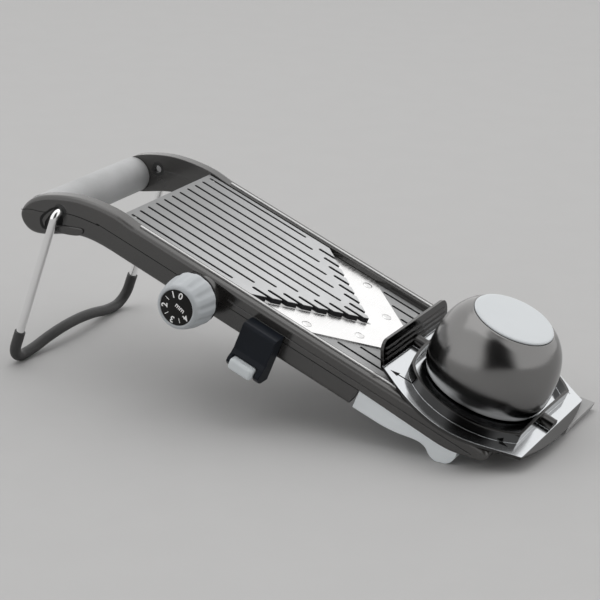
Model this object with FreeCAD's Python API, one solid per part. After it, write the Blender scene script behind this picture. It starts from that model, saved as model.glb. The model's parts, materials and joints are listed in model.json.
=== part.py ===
import FreeCAD, Part
import math
import os
from FreeCAD import Vector

# Mandoline slicer. All sizes are in millimetres.
# The deck is drawn flat: u runs along it from the handle to the front feet, v across it
# (minus v is the side of the dial), and w is normal to the sliding surface, which is w = 0.
# At the end the whole slicer is tilted on its stand and set down on z = 0.

# ---- deck and feed plate ----
PLATE_GAP = 1.0              # between the plate and each rail
PLATE_REAR = -4.2
PLATE_THICKNESS = 4.0
V_TIP = 161.0                # tip of the V edge on the centre line
V_SLOPE = 1.155              # how far the V edge falls back for each millimetre across
GROOVE_PITCH = 9.9
GROOVES_PER_SIDE = 5
GROOVE_WIDTH = 2.3
GROOVE_DEPTH = 0.9
GROOVE_END_SETBACK = 23.4    # from the V edge to the ends of the grooves
SLOT_PITCH = 7.0
SLOTS_PER_SIDE = 7
SLOT_WIDTH = 2.7
SLOT_LENGTH = 12.4

# ---- tilt of the feed plate ----
HINGE_U = 2.0
HINGE_PIN_RADIUS = 1.5
HINGE_PIN_LENGTH = 12.0
DIAL_STEP = 36.0             # degrees for half a millimetre
DIAL_STEPS = 7
SLICE_MAX = 4.0

# ---- blade and run-off plate ----
BLADE_TOP = -3.2
BLADE_THICKNESS = 1.2
BLADE_EDGE_GAP = 0.8
BLADE_BEVEL = 2.4
BLADE_TAIL = 205.3
BLADE_TAIL_SLOPE = 1.23
BLADE_SIDE_GAP = 0.6
RIVET_PLACES = ((137.7, 43.3), (165.8, 19.8))
RIVET_RADIUS = 1.5
RIVET_HEAD_RADIUS = 3.3
RIVET_HEAD_HEIGHT = 0.7
RUNOFF_THICKNESS = 3.6
RUNOFF_SETBACK = 7.0
RUNOFF_FRONT = 278.0
RUNOFF_RIM = 6.0             # from the front ends of its grooves

# ---- rails ----
RAIL_IN = 55.0               # inner face of each rail
RAIL_WIDTH = 9.5
RAIL_TOP = 0.6
RAIL_SHOULDER = 3.0          # radius of the outer edges
NOSE_RADIUS = 4.6
SEAM_W = -11.4               # parting line between rail and side cover
COVER_BOTTOM = -24.2
COVER_FRONT = 193.0
COVER_RAKE = 3.0             # how far the cover's front end leans back to its lower edge
RAIL_FRONT = 284.5
RAIL_FRONT_BOTTOM = -13.2
REAR_TIP = (-72.3, -35.5)
TOP_CURVE = ((-68.6, -24.4), (-53.4, -12.0), (-35.0, -3.7), (-16.0, 0.5), (-3.0, 1.5))
TOP_CURVE_END = 12.0
SEAM_CURVE = ((-56.0, -26.4), (-34.0, -15.9), (-14.5, -12.2))
SEAM_CURVE_END = 4.0
BOTTOM_CURVE = ((-68.4, -42.0), (-60.2, -44.6), (-50.7, -41.6), (-40.0, -35.2), (-25.6, -27.8),
                (-9.9, -24.7))
BOTTOM_CURVE_END = 6.0
FRONT_CURVE_START = 250.0
FRONT_CURVE = ((264.0, -12.0), (275.0, -8.8))
HOLLOW_WALL = 2.8            # walls left beside the hollows inside rails and covers
HOLLOW_START = 14.0
STRIP_INSET = 2.0            # guide strip, from the rail's inner face
STRIP_WIDTH = 1.8
STRIP_PROUD = 1.0
STRIP_DEPTH = 1.0
LINE_W = -6.7                # decorative line on the rail's outer face
LINE_SIZE = 0.5
COVER_SCREW_PLACES = (30.0, 98.0, 160.0)
SCREW_HEAD_RADIUS = 1.9
SCREW_HEAD_HEIGHT = 1.4
SCREW_RADIUS = 1.1
REAR_BAR = (6.0, 16.0)       # rear crossbar, along the deck
FRONT_BAR = (264.0, 276.0)
FRONT_BAR_HEIGHT = 3.0
TAB_FRONT = 306.8
TAB_INNER = 15.0
TAB_OUTER = 64.0
TAB_TOP = 0.2
TAB_RECESS = 1.2

# ---- handle ----
HANDLE_U = -59.7
HANDLE_W = -32.2
GRIP_RADIUS = 12.6
CORE_RADIUS = 8.0
CORE_SOCKET = 5.0

# ---- wire stand ----
PIVOT_U = -43.7
PIVOT_W = -18.8
LEG_LENGTH = 118.75
LEG_LEAN = 1.7               # degrees, forward from square to the deck
LEG_GAP = 5.1                # from the rails' outer faces to the legs' axes
WIRE_RADIUS = 2.75
SLEEVE_RADIUS = 3.8
SLEEVE_START = 95.0
TOP_BEND = 5.0
FOOT_BEND = 13.0
ARCH_RISE = 7.0
ARCH_END_RADIUS = 80.0
BUSH_RADIUS = 5.0
RUNNING_CLEARANCE = 0.05
STUB_INSET = 1.5

# ---- front feet ----
FOOT_U = 256.0
FOOT_W = -14.5
FOOT_RADIUS = 10.5
FOOT_FLAT = 0.5              # how much of the round is cut off flat
FOOT_REAR_GAP = 0.6
FOOT_WAIST = -22.0
FOOT_FRONT = 272.0
FOOT_RELIEF = 14.0           # straight start of its lower edge
FOOT_HEEL = 36.0             # where the lower edge turns to the round
FOOT_RECESS = 0.5            # behind the rail's outer face

# ---- dial knob and cam ----
KNOB_U = 72.5
KNOB_W = -11.9
SHAFT_RADIUS = 3.0
COLLAR_RADIUS = 11.8
KNOB_STANDOFF = 12.7         # from the rail's outer face to the knob's back
KNOB_LENGTH = 20.6
KNOB_MAX_RADIUS = 17.6
KNOB_FRONT_RADIUS = 13.9
KNOB_BEVEL = 1.6
KNOB_FLUTES = 12
FLUTE_RADIUS = 1.3
FLUTE_LIFT = 0.9             # height of a flute's axis over the knob's surface
DIAL_RADIUS = 11.7
DIAL_THICKNESS = 0.9
CAM_V = 24.0
CAM_WIDTH = 6.0
CAM_CLEARANCE = 0.45

# ---- julienne comb and selector ----
COMB_TRAVEL = 7.6
KNIFE_TIP = -9.4             # knife tips when the comb is down
KNIFE_HEIGHT = 11.8
KNIFE_LENGTH = 5.0
KNIFE_THICKNESS = 0.7
KNIFE_SETBACK = 4.0
COMB_BAR = 8.0
COMB_MARGIN = 1.5            # bar in front of the knives
COMB_FOOT = 4.0              # half width of the joint between bar and arm
COMB_THICKNESS = 4.0
COMB_HALF_WIDTH = 49.0
ARM_U = 121.6
ARM_WIDTH = 9.0
ARM_CLEARANCE = 1.0
BLOCK_REAR = 110.0
BLOCK_FRONT = 135.0
BLOCK_GAP = 0.8
BLOCK_TOP = -7.0
BLOCK_DEPTH = 11.2
BLOCK_BEVEL = 1.5
LIP_REACH = 4.0
BLOCK_ROUNDING = 1.2
BLOCK_SOCKET = 7.0            # depth of the button's window into the block
BUTTON_WIDTH = 18.0
BUTTON_HEIGHT = 8.4
BUTTON_TOP = -30.6
BUTTON_ROUNDING = 2.4
BUTTON_CLEARANCE = 0.4
BUTTON_TRAVEL = 2.5
BUTTON_PROUD = 2.5           # how far it stands out of the cheeks
BUTTON_STOP = 0.5
# the cheeks' outline, outwards from the block's face and over the button's top
CHEEK_PROFILE = ((0.0, 4.0), (1.4, 0.6), (LIP_REACH, -2.6), (LIP_REACH, -5.0), (1.0, -BUTTON_HEIGHT))

# ---- food guard ----
GUARD_U = 248.0              # axis of the plunger
FLOOR_BOTTOM = 1.0
FLOOR_THICKNESS = 2.2
FLOOR_REAR = 196.0
FLOOR_REAR_HALF = 48.0
FLOOR_SIDE = (259.0, 73.0)
FLOOR_FRONT = 300.5
FLOOR_FRONT_HALF = 52.4
FLOOR_NOSE = 307.0
NOSE_EDGE = 0.7              # thickness left at the front edge of the floor
WALL_HEIGHT = 17.5
WALL_HALF = 48.0
WALL_THICKNESS = 2.2
WALL_CORNER = 7.0
WALL_LEAN = 24.0             # degrees, backwards
WALL_FOOT = 2.0              # height of the wall's foot over the deck
WALL_OVERLAP = 1.5           # how far the wall's foot reaches into the floor
RIB_HEIGHTS = (4.6, 8.0, 11.4)
RIB_SIZE = 0.8
COLLAR_TOP = 9.9
COLLAR_WALL = 1.8
COLLAR_FRONT = (292.2, 40.8)
COLLAR_SIDE = (250.0, 60.8)
COLLAR_REAR = (208.4, 34.4)
COLLAR_FRONT_BOW = 291.6
COLLAR_REAR_BOW = 203.8
THROAT_RADIUS = 34.0
THROAT_WALL = 2.0
THROAT_TOP = 17.0
BOSS_RADIUS = 5.6

# ---- plunger ----
DOME_WALL = 2.4
DOME_PROFILE = ((39.4, 4.6), (41.4, 10.0), (42.1, 19.0), (41.2, 31.0), (37.9, 42.0), (32.8, 49.6),
                (27.6, 54.0))   # (radius, height)
CAP_RADIUS = 26.7
CAP_SEAT_INSET = 0.9
DOME_SHOULDER = 8.0          # how far the hollow's top draws in
CAP_THICKNESS = 1.6
CAP_TOP = 55.4
STEM_RADIUS = 6.0
STEM_BORE = 2.0
STEM_SCREW_HEAD = 1.6
STEM_SCREW_LENGTH = 16.0
STEM_TOP_SOLID = 8.0         # solid part of the stem over its bore
SPIKE_PLATE_W = 9.0
SPIKE_PLATE_THICKNESS = 2.2
SPIKE_PLATE_GAP = 0.8
SPIKE_RADIUS = 0.9
SPIKE_LENGTH = 6.4
SPIKE_POINT = 2.0
SPIKE_RINGS = ((12, 27.0), (6, 15.0))

# ---- sizes that follow from the ones above ----
RAIL_OUT = RAIL_IN + RAIL_WIDTH
PLATE_HALF_WIDTH = RAIL_IN - PLATE_GAP
LEG_V = RAIL_OUT + LEG_GAP
KNOB_BACK = RAIL_OUT + KNOB_STANDOFF
HINGE_W = -PLATE_THICKNESS / 2
BLADE_BOTTOM = BLADE_TOP - BLADE_THICKNESS
RUNOFF_BOTTOM = BLADE_BOTTOM - RUNOFF_THICKNESS
V_MID = V_TIP - V_SLOPE * PLATE_HALF_WIDTH / 2
PLATE_TILT = math.degrees(math.atan((SLICE_MAX - BLADE_TOP) / (V_MID - HINGE_U)))
KNOB_TURN = DIAL_STEP * DIAL_STEPS
COMB_TOP = KNIFE_TIP - KNIFE_HEIGHT
FLOOR_TOP = FLOOR_BOTTOM + FLOOR_THICKNESS
CENTRE = Vector(0, 0, 0)
ACROSS = Vector(0, 1, 0)
UP = Vector(0, 0, 1)


# ---- small helpers ----
def box(u0, u1, v0, v1, w0, w1):
    """A block between two corners."""
    return Part.makeBox(u1 - u0, v1 - v0, w1 - w0, Vector(u0, v0, w0))


def rod(u, w, radius, v0, v1):
    """A round rod across the deck."""
    return Part.makeCylinder(radius, v1 - v0, Vector(u, v0, w), ACROSS)


def post(u, v, radius, w0, w1):
    """A round rod square to the deck."""
    return Part.makeCylinder(radius, w1 - w0, Vector(u, v, w0), UP)


def plate(points, w0, w1):
    """A flat plate from (u, v) corners."""
    corners = [Vector(u, v, w0) for u, v in points]
    face = Part.Face(Part.makePolygon(corners + corners[:1]))
    return face.extrude(Vector(0, 0, w1 - w0))


def side_prism(edges, v0, v1):
    """A solid between two planes across the deck, from edges drawn in the plane v = 0."""
    face = Part.Face(Part.Wire(Part.__sortEdges__(edges)))
    face.translate(Vector(0, v0, 0))
    return face.extrude(Vector(0, v1 - v0, 0))


def side_line(a, b):
    """A straight edge in the plane v = 0."""
    return Part.LineSegment(Vector(a[0], 0, a[1]), Vector(b[0], 0, b[1])).toShape()


def side_arc(a, middle, b):
    """A round edge in the plane v = 0."""
    points = [Vector(u, 0, w) for u, w in (a, middle, b)]
    return Part.Arc(*points).toShape()


def smooth(points, start=None, end=None):
    """A cubic spline edge through points; start and end, if given, are its directions at the ends."""
    reach = [0.0]
    for before, after in zip(points, points[1:]):
        reach.append(reach[-1] + (after - before).Length)
    spans = [after - before for before, after in zip(reach, reach[1:])]
    chords = [(after - before) / span for before, after, span in zip(points, points[1:], spans)]
    last = len(points) - 1
    if start is None:
        start, end = chords[0], chords[-1]
    weights = [0.0] * (last + 1)
    slopes = [start.normalize()] + [Vector()] * last
    for i in range(1, last):
        diagonal = 2 * (spans[i - 1] + spans[i]) - spans[i] * weights[i - 1]
        pull = chords[i - 1] * (3 * spans[i]) + chords[i] * (3 * spans[i - 1])
        weights[i] = spans[i - 1] / diagonal
        slopes[i] = (pull - slopes[i - 1] * spans[i]) / diagonal
    slopes[last] = end.normalize()
    for i in range(last - 1, 0, -1):
        slopes[i] = slopes[i] - slopes[i + 1] * weights[i]
    poles = [points[0]]
    for i, span in enumerate(spans):
        ahead, behind = points[i] + slopes[i] * (span / 3), points[i + 1] - slopes[i + 1] * (span / 3)
        poles += [ahead, behind, points[i + 1]]
    curve = Part.BSplineCurve()
    curve.buildFromPolesMultsKnots(poles, [4] + [3] * (last - 1) + [4], reach, False, 3)
    for knot in range(2, last + 1):
        curve.removeKnot(knot, 1, 1e-5)
    return curve.toShape()


def side_curve(points, start, end):
    """A smooth edge through points in the plane v = 0, with its direction at both ends."""
    places = [Vector(u, 0, w) for u, w in points]
    return smooth(places, Vector(start[0], 0, start[1]), Vector(end[0], 0, end[1]))


def slot(u0, u1, v, width, w0, w1):
    """A cutter for a groove along the deck, with round ends."""
    radius = width / 2
    body = box(u0, u1, v - radius, v + radius, w0, w1)
    return body.fuse([post(u0, v, radius, w0, w1), post(u1, v, radius, w0, w1)])


def v_edge(v, setback=0.0):
    """Where the V edge lies at v, moved back towards the handle by setback."""
    return V_TIP - V_SLOPE * abs(v) - setback


def far_side(shape):
    """The same piece on the far side of the deck."""
    return shape.mirror(CENTRE, ACROSS)


def rounded(shape, radius, wanted):
    """Round the edges whose middle point passes the test."""
    edges = []
    for edge in shape.Edges:
        middle = edge.valueAt((edge.FirstParameter + edge.LastParameter) / 2)
        if wanted(edge, middle):
            edges.append(edge)
    return shape.makeFillet(radius, edges)


# ---- deck ----
def feed_plate():
    """The ridged plate that the food slides down, with its V edge and the slots of the comb."""
    half = PLATE_HALF_WIDTH
    outline = ((PLATE_REAR, -half), (v_edge(half), -half), (V_TIP, 0), (v_edge(half), half),
               (PLATE_REAR, half))
    shape = plate(outline, -PLATE_THICKNESS, 0)
    cutters = []
    for step in range(-GROOVES_PER_SIDE, GROOVES_PER_SIDE + 1):
        v = step * GROOVE_PITCH
        if abs(v) + GROOVE_WIDTH < half:
            cutters.append(slot(0, v_edge(v, GROOVE_END_SETBACK), v, GROOVE_WIDTH, -GROOVE_DEPTH, 1))
    for v in slot_places():
        start = v_edge(v, SLOT_LENGTH)
        cutters.append(slot(start, V_TIP + SLOT_WIDTH, v, SLOT_WIDTH, -PLATE_THICKNESS - 1, 1))
    for side in (-1, 1):
        cutters.append(rod(HINGE_U, HINGE_W, HINGE_PIN_RADIUS, *pin_span(side)))
    return shape.cut(cutters)


def slot_places():
    """Centres of the slots that the julienne knives rise through."""
    half_steps = [step + 0.5 for step in range(-SLOTS_PER_SIDE, SLOTS_PER_SIDE)]
    return [step * SLOT_PITCH for step in half_steps]


def pin_span(side):
    """The two ends of a hinge pin, in order along v."""
    outer = RAIL_IN + HINGE_PIN_LENGTH / 3
    ends = (side * (outer - HINGE_PIN_LENGTH), side * outer)
    return min(ends), max(ends)


def hinge_pins():
    """Two steel pins on which the feed plate tilts."""
    return Part.makeCompound([rod(HINGE_U, HINGE_W, HINGE_PIN_RADIUS, *pin_span(side)) for side in (-1, 1)])


def blade():
    """The V-shaped blade: a flat plate with a long bevel on its cutting edge."""
    half = RAIL_IN - BLADE_SIDE_GAP
    lead = V_TIP + BLADE_EDGE_GAP

    def outline(nose, tail, w):
        near = ((nose - V_SLOPE * half, -half), (nose, 0), (nose - V_SLOPE * half, half))
        back = ((tail - BLADE_TAIL_SLOPE * half, half), (tail, 0), (tail - BLADE_TAIL_SLOPE * half, -half))
        corners = [Vector(u, v, w) for u, v in near + back]
        return Part.makePolygon(corners + corners[:1])

    lower = outline(lead, BLADE_TAIL, BLADE_BOTTOM)
    upper = outline(lead + BLADE_BEVEL, BLADE_TAIL - BLADE_THICKNESS / 2, BLADE_TOP)
    shape = Part.makeLoft([lower, upper], True, True)
    holes = [post(u, v, RIVET_RADIUS, BLADE_BOTTOM - 1, BLADE_TOP + 1) for u, v in rivet_places()]
    return shape.cut(holes)


def rivet_places():
    """Centres of the blade's rivets."""
    return [(u, side * v) for u, v in RIVET_PLACES for side in (-1, 1)]


def blade_rivets():
    """Rivets with low domed heads that hold the blade on the run-off plate."""
    solids = []
    for u, v in rivet_places():
        shank = post(u, v, RIVET_RADIUS, RUNOFF_BOTTOM, BLADE_TOP)
        ball_radius = (RIVET_HEAD_RADIUS ** 2 + RIVET_HEAD_HEIGHT ** 2) / (2 * RIVET_HEAD_HEIGHT)
        ball = Part.makeSphere(ball_radius, Vector(u, v, BLADE_TOP + RIVET_HEAD_HEIGHT - ball_radius))
        head = ball.common(post(u, v, RIVET_HEAD_RADIUS + 1, BLADE_TOP, BLADE_TOP + RIVET_HEAD_HEIGHT))
        solids.append(shank.fuse(head).removeSplitter())
    return Part.makeCompound(solids)


def runoff_plate():
    """The ridged plate past the blade: it carries the blade and leaves room for slices below it."""
    half = RAIL_IN
    nose = V_TIP + BLADE_EDGE_GAP + RUNOFF_SETBACK
    outline = ((nose - V_SLOPE * half, -half), (nose, 0), (nose - V_SLOPE * half, half),
               (RUNOFF_FRONT, half), (RUNOFF_FRONT, -half))
    shape = plate(outline, RUNOFF_BOTTOM, BLADE_BOTTOM)
    cutters = [post(u, v, RIVET_RADIUS, RUNOFF_BOTTOM - 1, BLADE_BOTTOM + 1) for u, v in rivet_places()]
    for step in range(-GROOVES_PER_SIDE, GROOVES_PER_SIDE + 1):
        v = step * GROOVE_PITCH
        start = BLADE_TAIL - BLADE_TAIL_SLOPE * abs(v) + 2 * GROOVE_WIDTH
        low = BLADE_BOTTOM - GROOVE_DEPTH
        cutters.append(slot(start, RUNOFF_FRONT - RUNOFF_RIM, v, GROOVE_WIDTH, low, BLADE_BOTTOM + 1))
    return shape.cut(cutters)


# ---- rails, side covers and what closes the frame ----
def seam_edge():
    """The parting line's curved stretch."""
    return side_curve((REAR_TIP,) + SEAM_CURVE + ((SEAM_CURVE_END, SEAM_W),), (1, 0.35), (1, 0))


def lower_front_edge():
    """The rail's lower edge where it rounds up to its front end."""
    points = ((FRONT_CURVE_START, RAIL_FRONT_BOTTOM),) + FRONT_CURVE + ((RAIL_FRONT, RAIL_TOP - NOSE_RADIUS),)
    return side_curve(points, (1, 0), (0.4, 1))


def near_side_body():
    """Rail and side cover as one body, with a rounded outer edge along the top, the rear and below."""
    top_start = (RAIL_FRONT - NOSE_RADIUS, RAIL_TOP)
    nose = (RAIL_FRONT, RAIL_TOP - NOSE_RADIUS)
    bulge = NOSE_RADIUS * math.sqrt(0.5)
    nose_middle = (top_start[0] + bulge, nose[1] + bulge)
    edges = [
        side_curve((REAR_TIP,) + TOP_CURVE + ((TOP_CURVE_END, RAIL_TOP),), (0, 1), (1, 0)),
        side_line((TOP_CURVE_END, RAIL_TOP), top_start),
        side_arc(top_start, nose_middle, nose),
        lower_front_edge(),
        side_line((FRONT_CURVE_START, RAIL_FRONT_BOTTOM), (COVER_FRONT, SEAM_W)),
        side_line((COVER_FRONT, SEAM_W), (COVER_FRONT - COVER_RAKE, COVER_BOTTOM)),
        side_line((COVER_FRONT - COVER_RAKE, COVER_BOTTOM), (BOTTOM_CURVE_END, COVER_BOTTOM)),
        side_curve((REAR_TIP,) + BOTTOM_CURVE + ((BOTTOM_CURVE_END, COVER_BOTTOM),), (0, -1), (1, 0)),
    ]
    shape = side_prism(edges, -RAIL_OUT, -RAIL_IN)

    def outer_edge(edge, p):
        along_front = p.x > COVER_FRONT - COVER_RAKE and p.z < RAIL_TOP - NOSE_RADIUS
        return p.y < 0.01 - RAIL_OUT and not along_front

    return rounded(shape, RAIL_SHOULDER, outer_edge)


def above_seam():
    """Everything above the parting line, as wide as both side bodies."""
    high = RAIL_TOP + 20
    rear = REAR_TIP[0] - 10
    front = RAIL_FRONT + 10
    low_front = RAIL_FRONT_BOTTOM - 5
    edges = [
        seam_edge(),
        side_line((SEAM_CURVE_END, SEAM_W), (COVER_FRONT, SEAM_W)),
        side_line((COVER_FRONT, SEAM_W), (COVER_FRONT + 5, low_front)),
        side_line((COVER_FRONT + 5, low_front), (front, low_front)),
        side_line((front, low_front), (front, high)),
        side_line((front, high), (rear, high)),
        side_line((rear, high), (rear, REAR_TIP[1])),
        side_line((rear, REAR_TIP[1]), REAR_TIP),
    ]
    return side_prism(edges, -RAIL_OUT - 1, 1 - RAIL_IN)


def rail():
    """The near rail: a long moulding with a rounded shoulder, curved down to the handle."""
    hollow = box(HOLLOW_START, FRONT_CURVE_START, HOLLOW_WALL - RAIL_OUT, -RAIL_IN - HOLLOW_WALL,
                 RAIL_FRONT_BOTTOM - 1, -STRIP_DEPTH - HOLLOW_WALL)
    line = box(KNOB_U + KNOB_MAX_RADIUS, RAIL_FRONT - 10, -RAIL_OUT - 1, LINE_SIZE - RAIL_OUT,
               LINE_W - LINE_SIZE, LINE_W)
    pin_end = -RAIL_IN - HINGE_PIN_LENGTH / 3 - 0.5
    pin_bore = rod(HINGE_U, HINGE_W, HINGE_PIN_RADIUS + RUNNING_CLEARANCE, pin_end, 1 - RAIL_IN)
    shape = near_side_body().common(above_seam())
    return shape.cut([hollow, strip_block(), line, pin_bore] + shared_bores())


def shared_bores():
    """Bores that run through both a rail and its side cover: handle, stand pivot and dial shaft."""
    return [rod(HANDLE_U, HANDLE_W, CORE_RADIUS, -RAIL_IN - CORE_SOCKET, 1 - RAIL_IN),
            rod(PIVOT_U, PIVOT_W, BUSH_RADIUS, -RAIL_OUT - 1, 1 - RAIL_IN),
            rod(KNOB_U, KNOB_W, BUSH_RADIUS, -RAIL_OUT - 1, 1 - RAIL_IN)]


def strip_block():
    """The guide strip's block, let into the top of the near rail."""
    v = -RAIL_IN - STRIP_INSET
    return box(TOP_CURVE_END, RAIL_FRONT - NOSE_RADIUS - 1, v - STRIP_WIDTH, v, RAIL_TOP - STRIP_DEPTH,
               RAIL_TOP + STRIP_PROUD)


def guide_strip():
    """A thin bright strip that the food guard runs on."""
    top = RAIL_TOP + STRIP_PROUD
    return rounded(strip_block(), 0.4, lambda edge, p: p.z > top - 0.01 and edge.Length > 10)


def side_cover():
    """The near side cover: a skirt under the rail that closes its hollow."""
    hollow = box(HOLLOW_START, COVER_FRONT - 6, HOLLOW_WALL - RAIL_OUT, -RAIL_IN - HOLLOW_WALL,
                 COVER_BOTTOM + HOLLOW_WALL, SEAM_W + 1)
    shape = near_side_body().cut(above_seam())
    return shape.cut([hollow] + shared_bores())


def arm_notch():
    """The gap in the near cover that the comb's arm slides in."""
    half = ARM_WIDTH / 2 + ARM_CLEARANCE
    top = COMB_TOP + COMB_TRAVEL + ARM_CLEARANCE
    return box(ARM_U - half, ARM_U + half, -RAIL_OUT - 1, 1 - RAIL_IN, COVER_BOTTOM - 1, top)


def handle_core():
    """The rod inside the grip, held in a socket in each rail."""
    half = RAIL_IN + CORE_SOCKET
    return rod(HANDLE_U, HANDLE_W, CORE_RADIUS, -half, half)


def handle_grip():
    """The soft sleeve round the handle."""
    sleeve = rod(HANDLE_U, HANDLE_W, GRIP_RADIUS, -RAIL_IN, RAIL_IN)
    return sleeve.cut(rod(HANDLE_U, HANDLE_W, CORE_RADIUS, -RAIL_IN, RAIL_IN))


def rear_crossbar():
    """A bar that ties the rails together under the back of the feed plate."""
    bar = box(*REAR_BAR, -RAIL_IN, RAIL_IN, COVER_BOTTOM + 2, SEAM_W)
    return rounded(bar, 2.0, lambda edge, p: edge.Length > RAIL_IN)


def front_crossbar():
    """The bar under the front of the run-off plate."""
    return box(*FRONT_BAR, -RAIL_IN, RAIL_IN, RUNOFF_BOTTOM - FRONT_BAR_HEIGHT, RUNOFF_BOTTOM)


def parking_tab():
    """The pale tongue at the front that the guard parks on."""
    rear = RUNOFF_FRONT - RUNOFF_RIM + GROOVE_WIDTH
    outline = ((rear, TAB_INNER), (TAB_FRONT, TAB_INNER), (TAB_FRONT, TAB_OUTER), (RAIL_FRONT + 1, RAIL_IN),
               (rear, RAIL_IN))
    rim = 2 * TAB_RECESS
    hollow = box(RUNOFF_FRONT + rim, TAB_FRONT - rim, TAB_INNER + rim, RAIL_IN - 2 * rim, BLADE_BOTTOM - 1,
                 TAB_TOP - TAB_RECESS)
    return plate(outline, BLADE_BOTTOM, TAB_TOP).cut(hollow)


def front_foot():
    """The soft pale foot under the front of the near rail, cut flat where it stands."""
    rear = COVER_FRONT + FOOT_REAR_GAP

    def rim(angle):
        turned_to = math.radians(angle)
        return FOOT_U + FOOT_RADIUS * math.cos(turned_to), FOOT_W + FOOT_RADIUS * math.sin(turned_to)

    sole = ((rear, COVER_BOTTOM), (rear + FOOT_RELIEF, COVER_BOTTOM), (rear + FOOT_HEEL, FOOT_WAIST), rim(225))
    edges = [
        side_line((rear, SEAM_W + 2), (rear, COVER_BOTTOM)),
        side_curve(sole, (1, 0), (1, -1)),
        side_arc(rim(225), rim(290), rim(380)),
        side_line(rim(380), (FOOT_FRONT, RAIL_TOP - 4)),
        side_line((FOOT_FRONT, RAIL_TOP - 4), (rear, SEAM_W + 2)),
    ]
    shape = side_prism(edges, -RAIL_OUT + FOOT_RECESS, -RAIL_IN)
    tilt = deck_tilt()
    floor = Part.makeBox(60, 60, 20, Vector(-30, -30, -20))
    floor.rotate(CENTRE, ACROSS, -tilt)
    normal = Vector(-math.sin(math.radians(tilt)), 0, math.cos(math.radians(tilt)))
    floor.translate(Vector(FOOT_U, -RAIL_IN, FOOT_W) - normal * (FOOT_RADIUS - FOOT_FLAT))
    return shape.cut([floor, front_rail_space()])


def front_rail_space():
    """The front of the near rail's outline, wide enough to cut its neighbours to fit."""
    rear = COVER_FRONT - 20
    edges = [
        side_line((rear, SEAM_W), (COVER_FRONT, SEAM_W)),
        side_line((COVER_FRONT, SEAM_W), (FRONT_CURVE_START, RAIL_FRONT_BOTTOM)),
        lower_front_edge(),
        side_line((RAIL_FRONT, RAIL_TOP - NOSE_RADIUS), (RAIL_FRONT, RAIL_TOP)),
        side_line((RAIL_FRONT, RAIL_TOP), (rear, RAIL_TOP)),
        side_line((rear, RAIL_TOP), (rear, SEAM_W)),
    ]
    return side_prism(edges, -RAIL_OUT - 1, 1 - RAIL_IN)


def bush(u, w, bore, reach):
    """A plain bearing bush in the near rail and cover."""
    ring = rod(u, w, BUSH_RADIUS, -RAIL_OUT - reach, -RAIL_IN)
    return ring.cut(rod(u, w, bore, -RAIL_OUT - reach - 1, 1 - RAIL_IN))


def cover_screws():
    """Screws that hold the side covers to the rails, put in from below."""
    solids = []
    v = RAIL_IN + RAIL_WIDTH / 2
    for u in COVER_SCREW_PLACES:
        for side in (-1, 1):
            neck = COVER_BOTTOM + SCREW_HEAD_HEIGHT
            head = post(u, side * v, SCREW_HEAD_RADIUS, COVER_BOTTOM, neck)
            shank = post(u, side * v, SCREW_RADIUS, neck, SEAM_W + 1)
            solids.append(head.fuse(shank).removeSplitter())
    return Part.makeCompound(solids)


# ---- wire stand ----
def stand_point(v, s):
    """A point of the stand: v across, s along the leg from the pivot."""
    lean = math.radians(LEG_LEAN)
    return Vector(PIVOT_U + s * math.sin(lean), v, PIVOT_W - s * math.cos(lean))


def stand_path(start):
    """Half the wire's centre line, from s = start to the middle of the foot: runs of two points and
    arcs of three, each point as (v, s)."""
    arch_half = LEG_V - FOOT_BEND
    turn = 2 * math.atan(ARCH_RISE / arch_half)
    middle_radius = arch_half / math.sin(turn) - ARCH_END_RADIUS
    corner = math.sqrt(0.5)
    edges = []
    if start <= 0:
        inner = LEG_V - TOP_BEND
        edges.append(((-RAIL_IN - STUB_INSET, 0), (-inner, 0)))
        edges.append(((-inner, 0), (-inner - TOP_BEND * corner, TOP_BEND * (1 - corner)), (-LEG_V, TOP_BEND)))
        start = TOP_BEND
    low = LEG_LENGTH - FOOT_BEND
    sag = FOOT_BEND * (1 - corner)
    edges.append(((-LEG_V, start), (-LEG_V, low)))
    edges.append(((-LEG_V, low), (sag - LEG_V, LEG_LENGTH - sag), (-arch_half, LEG_LENGTH)))

    def rising(angle):
        v = ARCH_END_RADIUS * math.sin(angle) - arch_half
        return v, LEG_LENGTH - ARCH_END_RADIUS * (1 - math.cos(angle))

    def crown(angle):
        s = LEG_LENGTH - ARCH_RISE + middle_radius * (1 - math.cos(angle))
        return -middle_radius * math.sin(angle), s

    edges.append(((-arch_half, LEG_LENGTH), rising(turn / 2), rising(turn)))
    edges.append((rising(turn), crown(turn / 2), crown(0)))
    return edges


def stand_pipe(start, radius):
    """A round bar along the whole stand, from s = start on one leg to the same on the other."""
    half = stand_path(start)
    shapes = []
    for side in (1, -1):
        for points in half:
            places = [stand_point(side * v, s) for v, s in points]
            piece = Part.LineSegment if len(places) == 2 else Part.Arc
            shapes.append(piece(*places).toShape())
    wire = Part.Wire(Part.__sortEdges__(shapes))
    first = stand_point(*half[0][0])
    direction = stand_point(*half[0][1]) - first
    ring = Part.Wire(Part.makeCircle(radius, first, direction))
    return wire.makePipeShell([ring], True, False)


def stand_wire():
    """The bent steel wire of the stand."""
    return stand_pipe(0, WIRE_RADIUS)


def stand_sleeve():
    """The rubber sleeve round the stand's foot."""
    return stand_pipe(SLEEVE_START, SLEEVE_RADIUS).cut(stand_pipe(SLEEVE_START - 5, WIRE_RADIUS))


def deck_tilt():
    """The angle of the deck when the stand's sleeve and the front feet both stand on the floor."""
    rear = stand_point(0, LEG_LENGTH)
    across = Vector(FOOT_U, 0, FOOT_W) - rear
    slope = math.atan2(across.z, across.x)
    lift = math.asin((FOOT_RADIUS - FOOT_FLAT - SLEEVE_RADIUS) / across.Length)
    return math.degrees(slope - lift)


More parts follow.
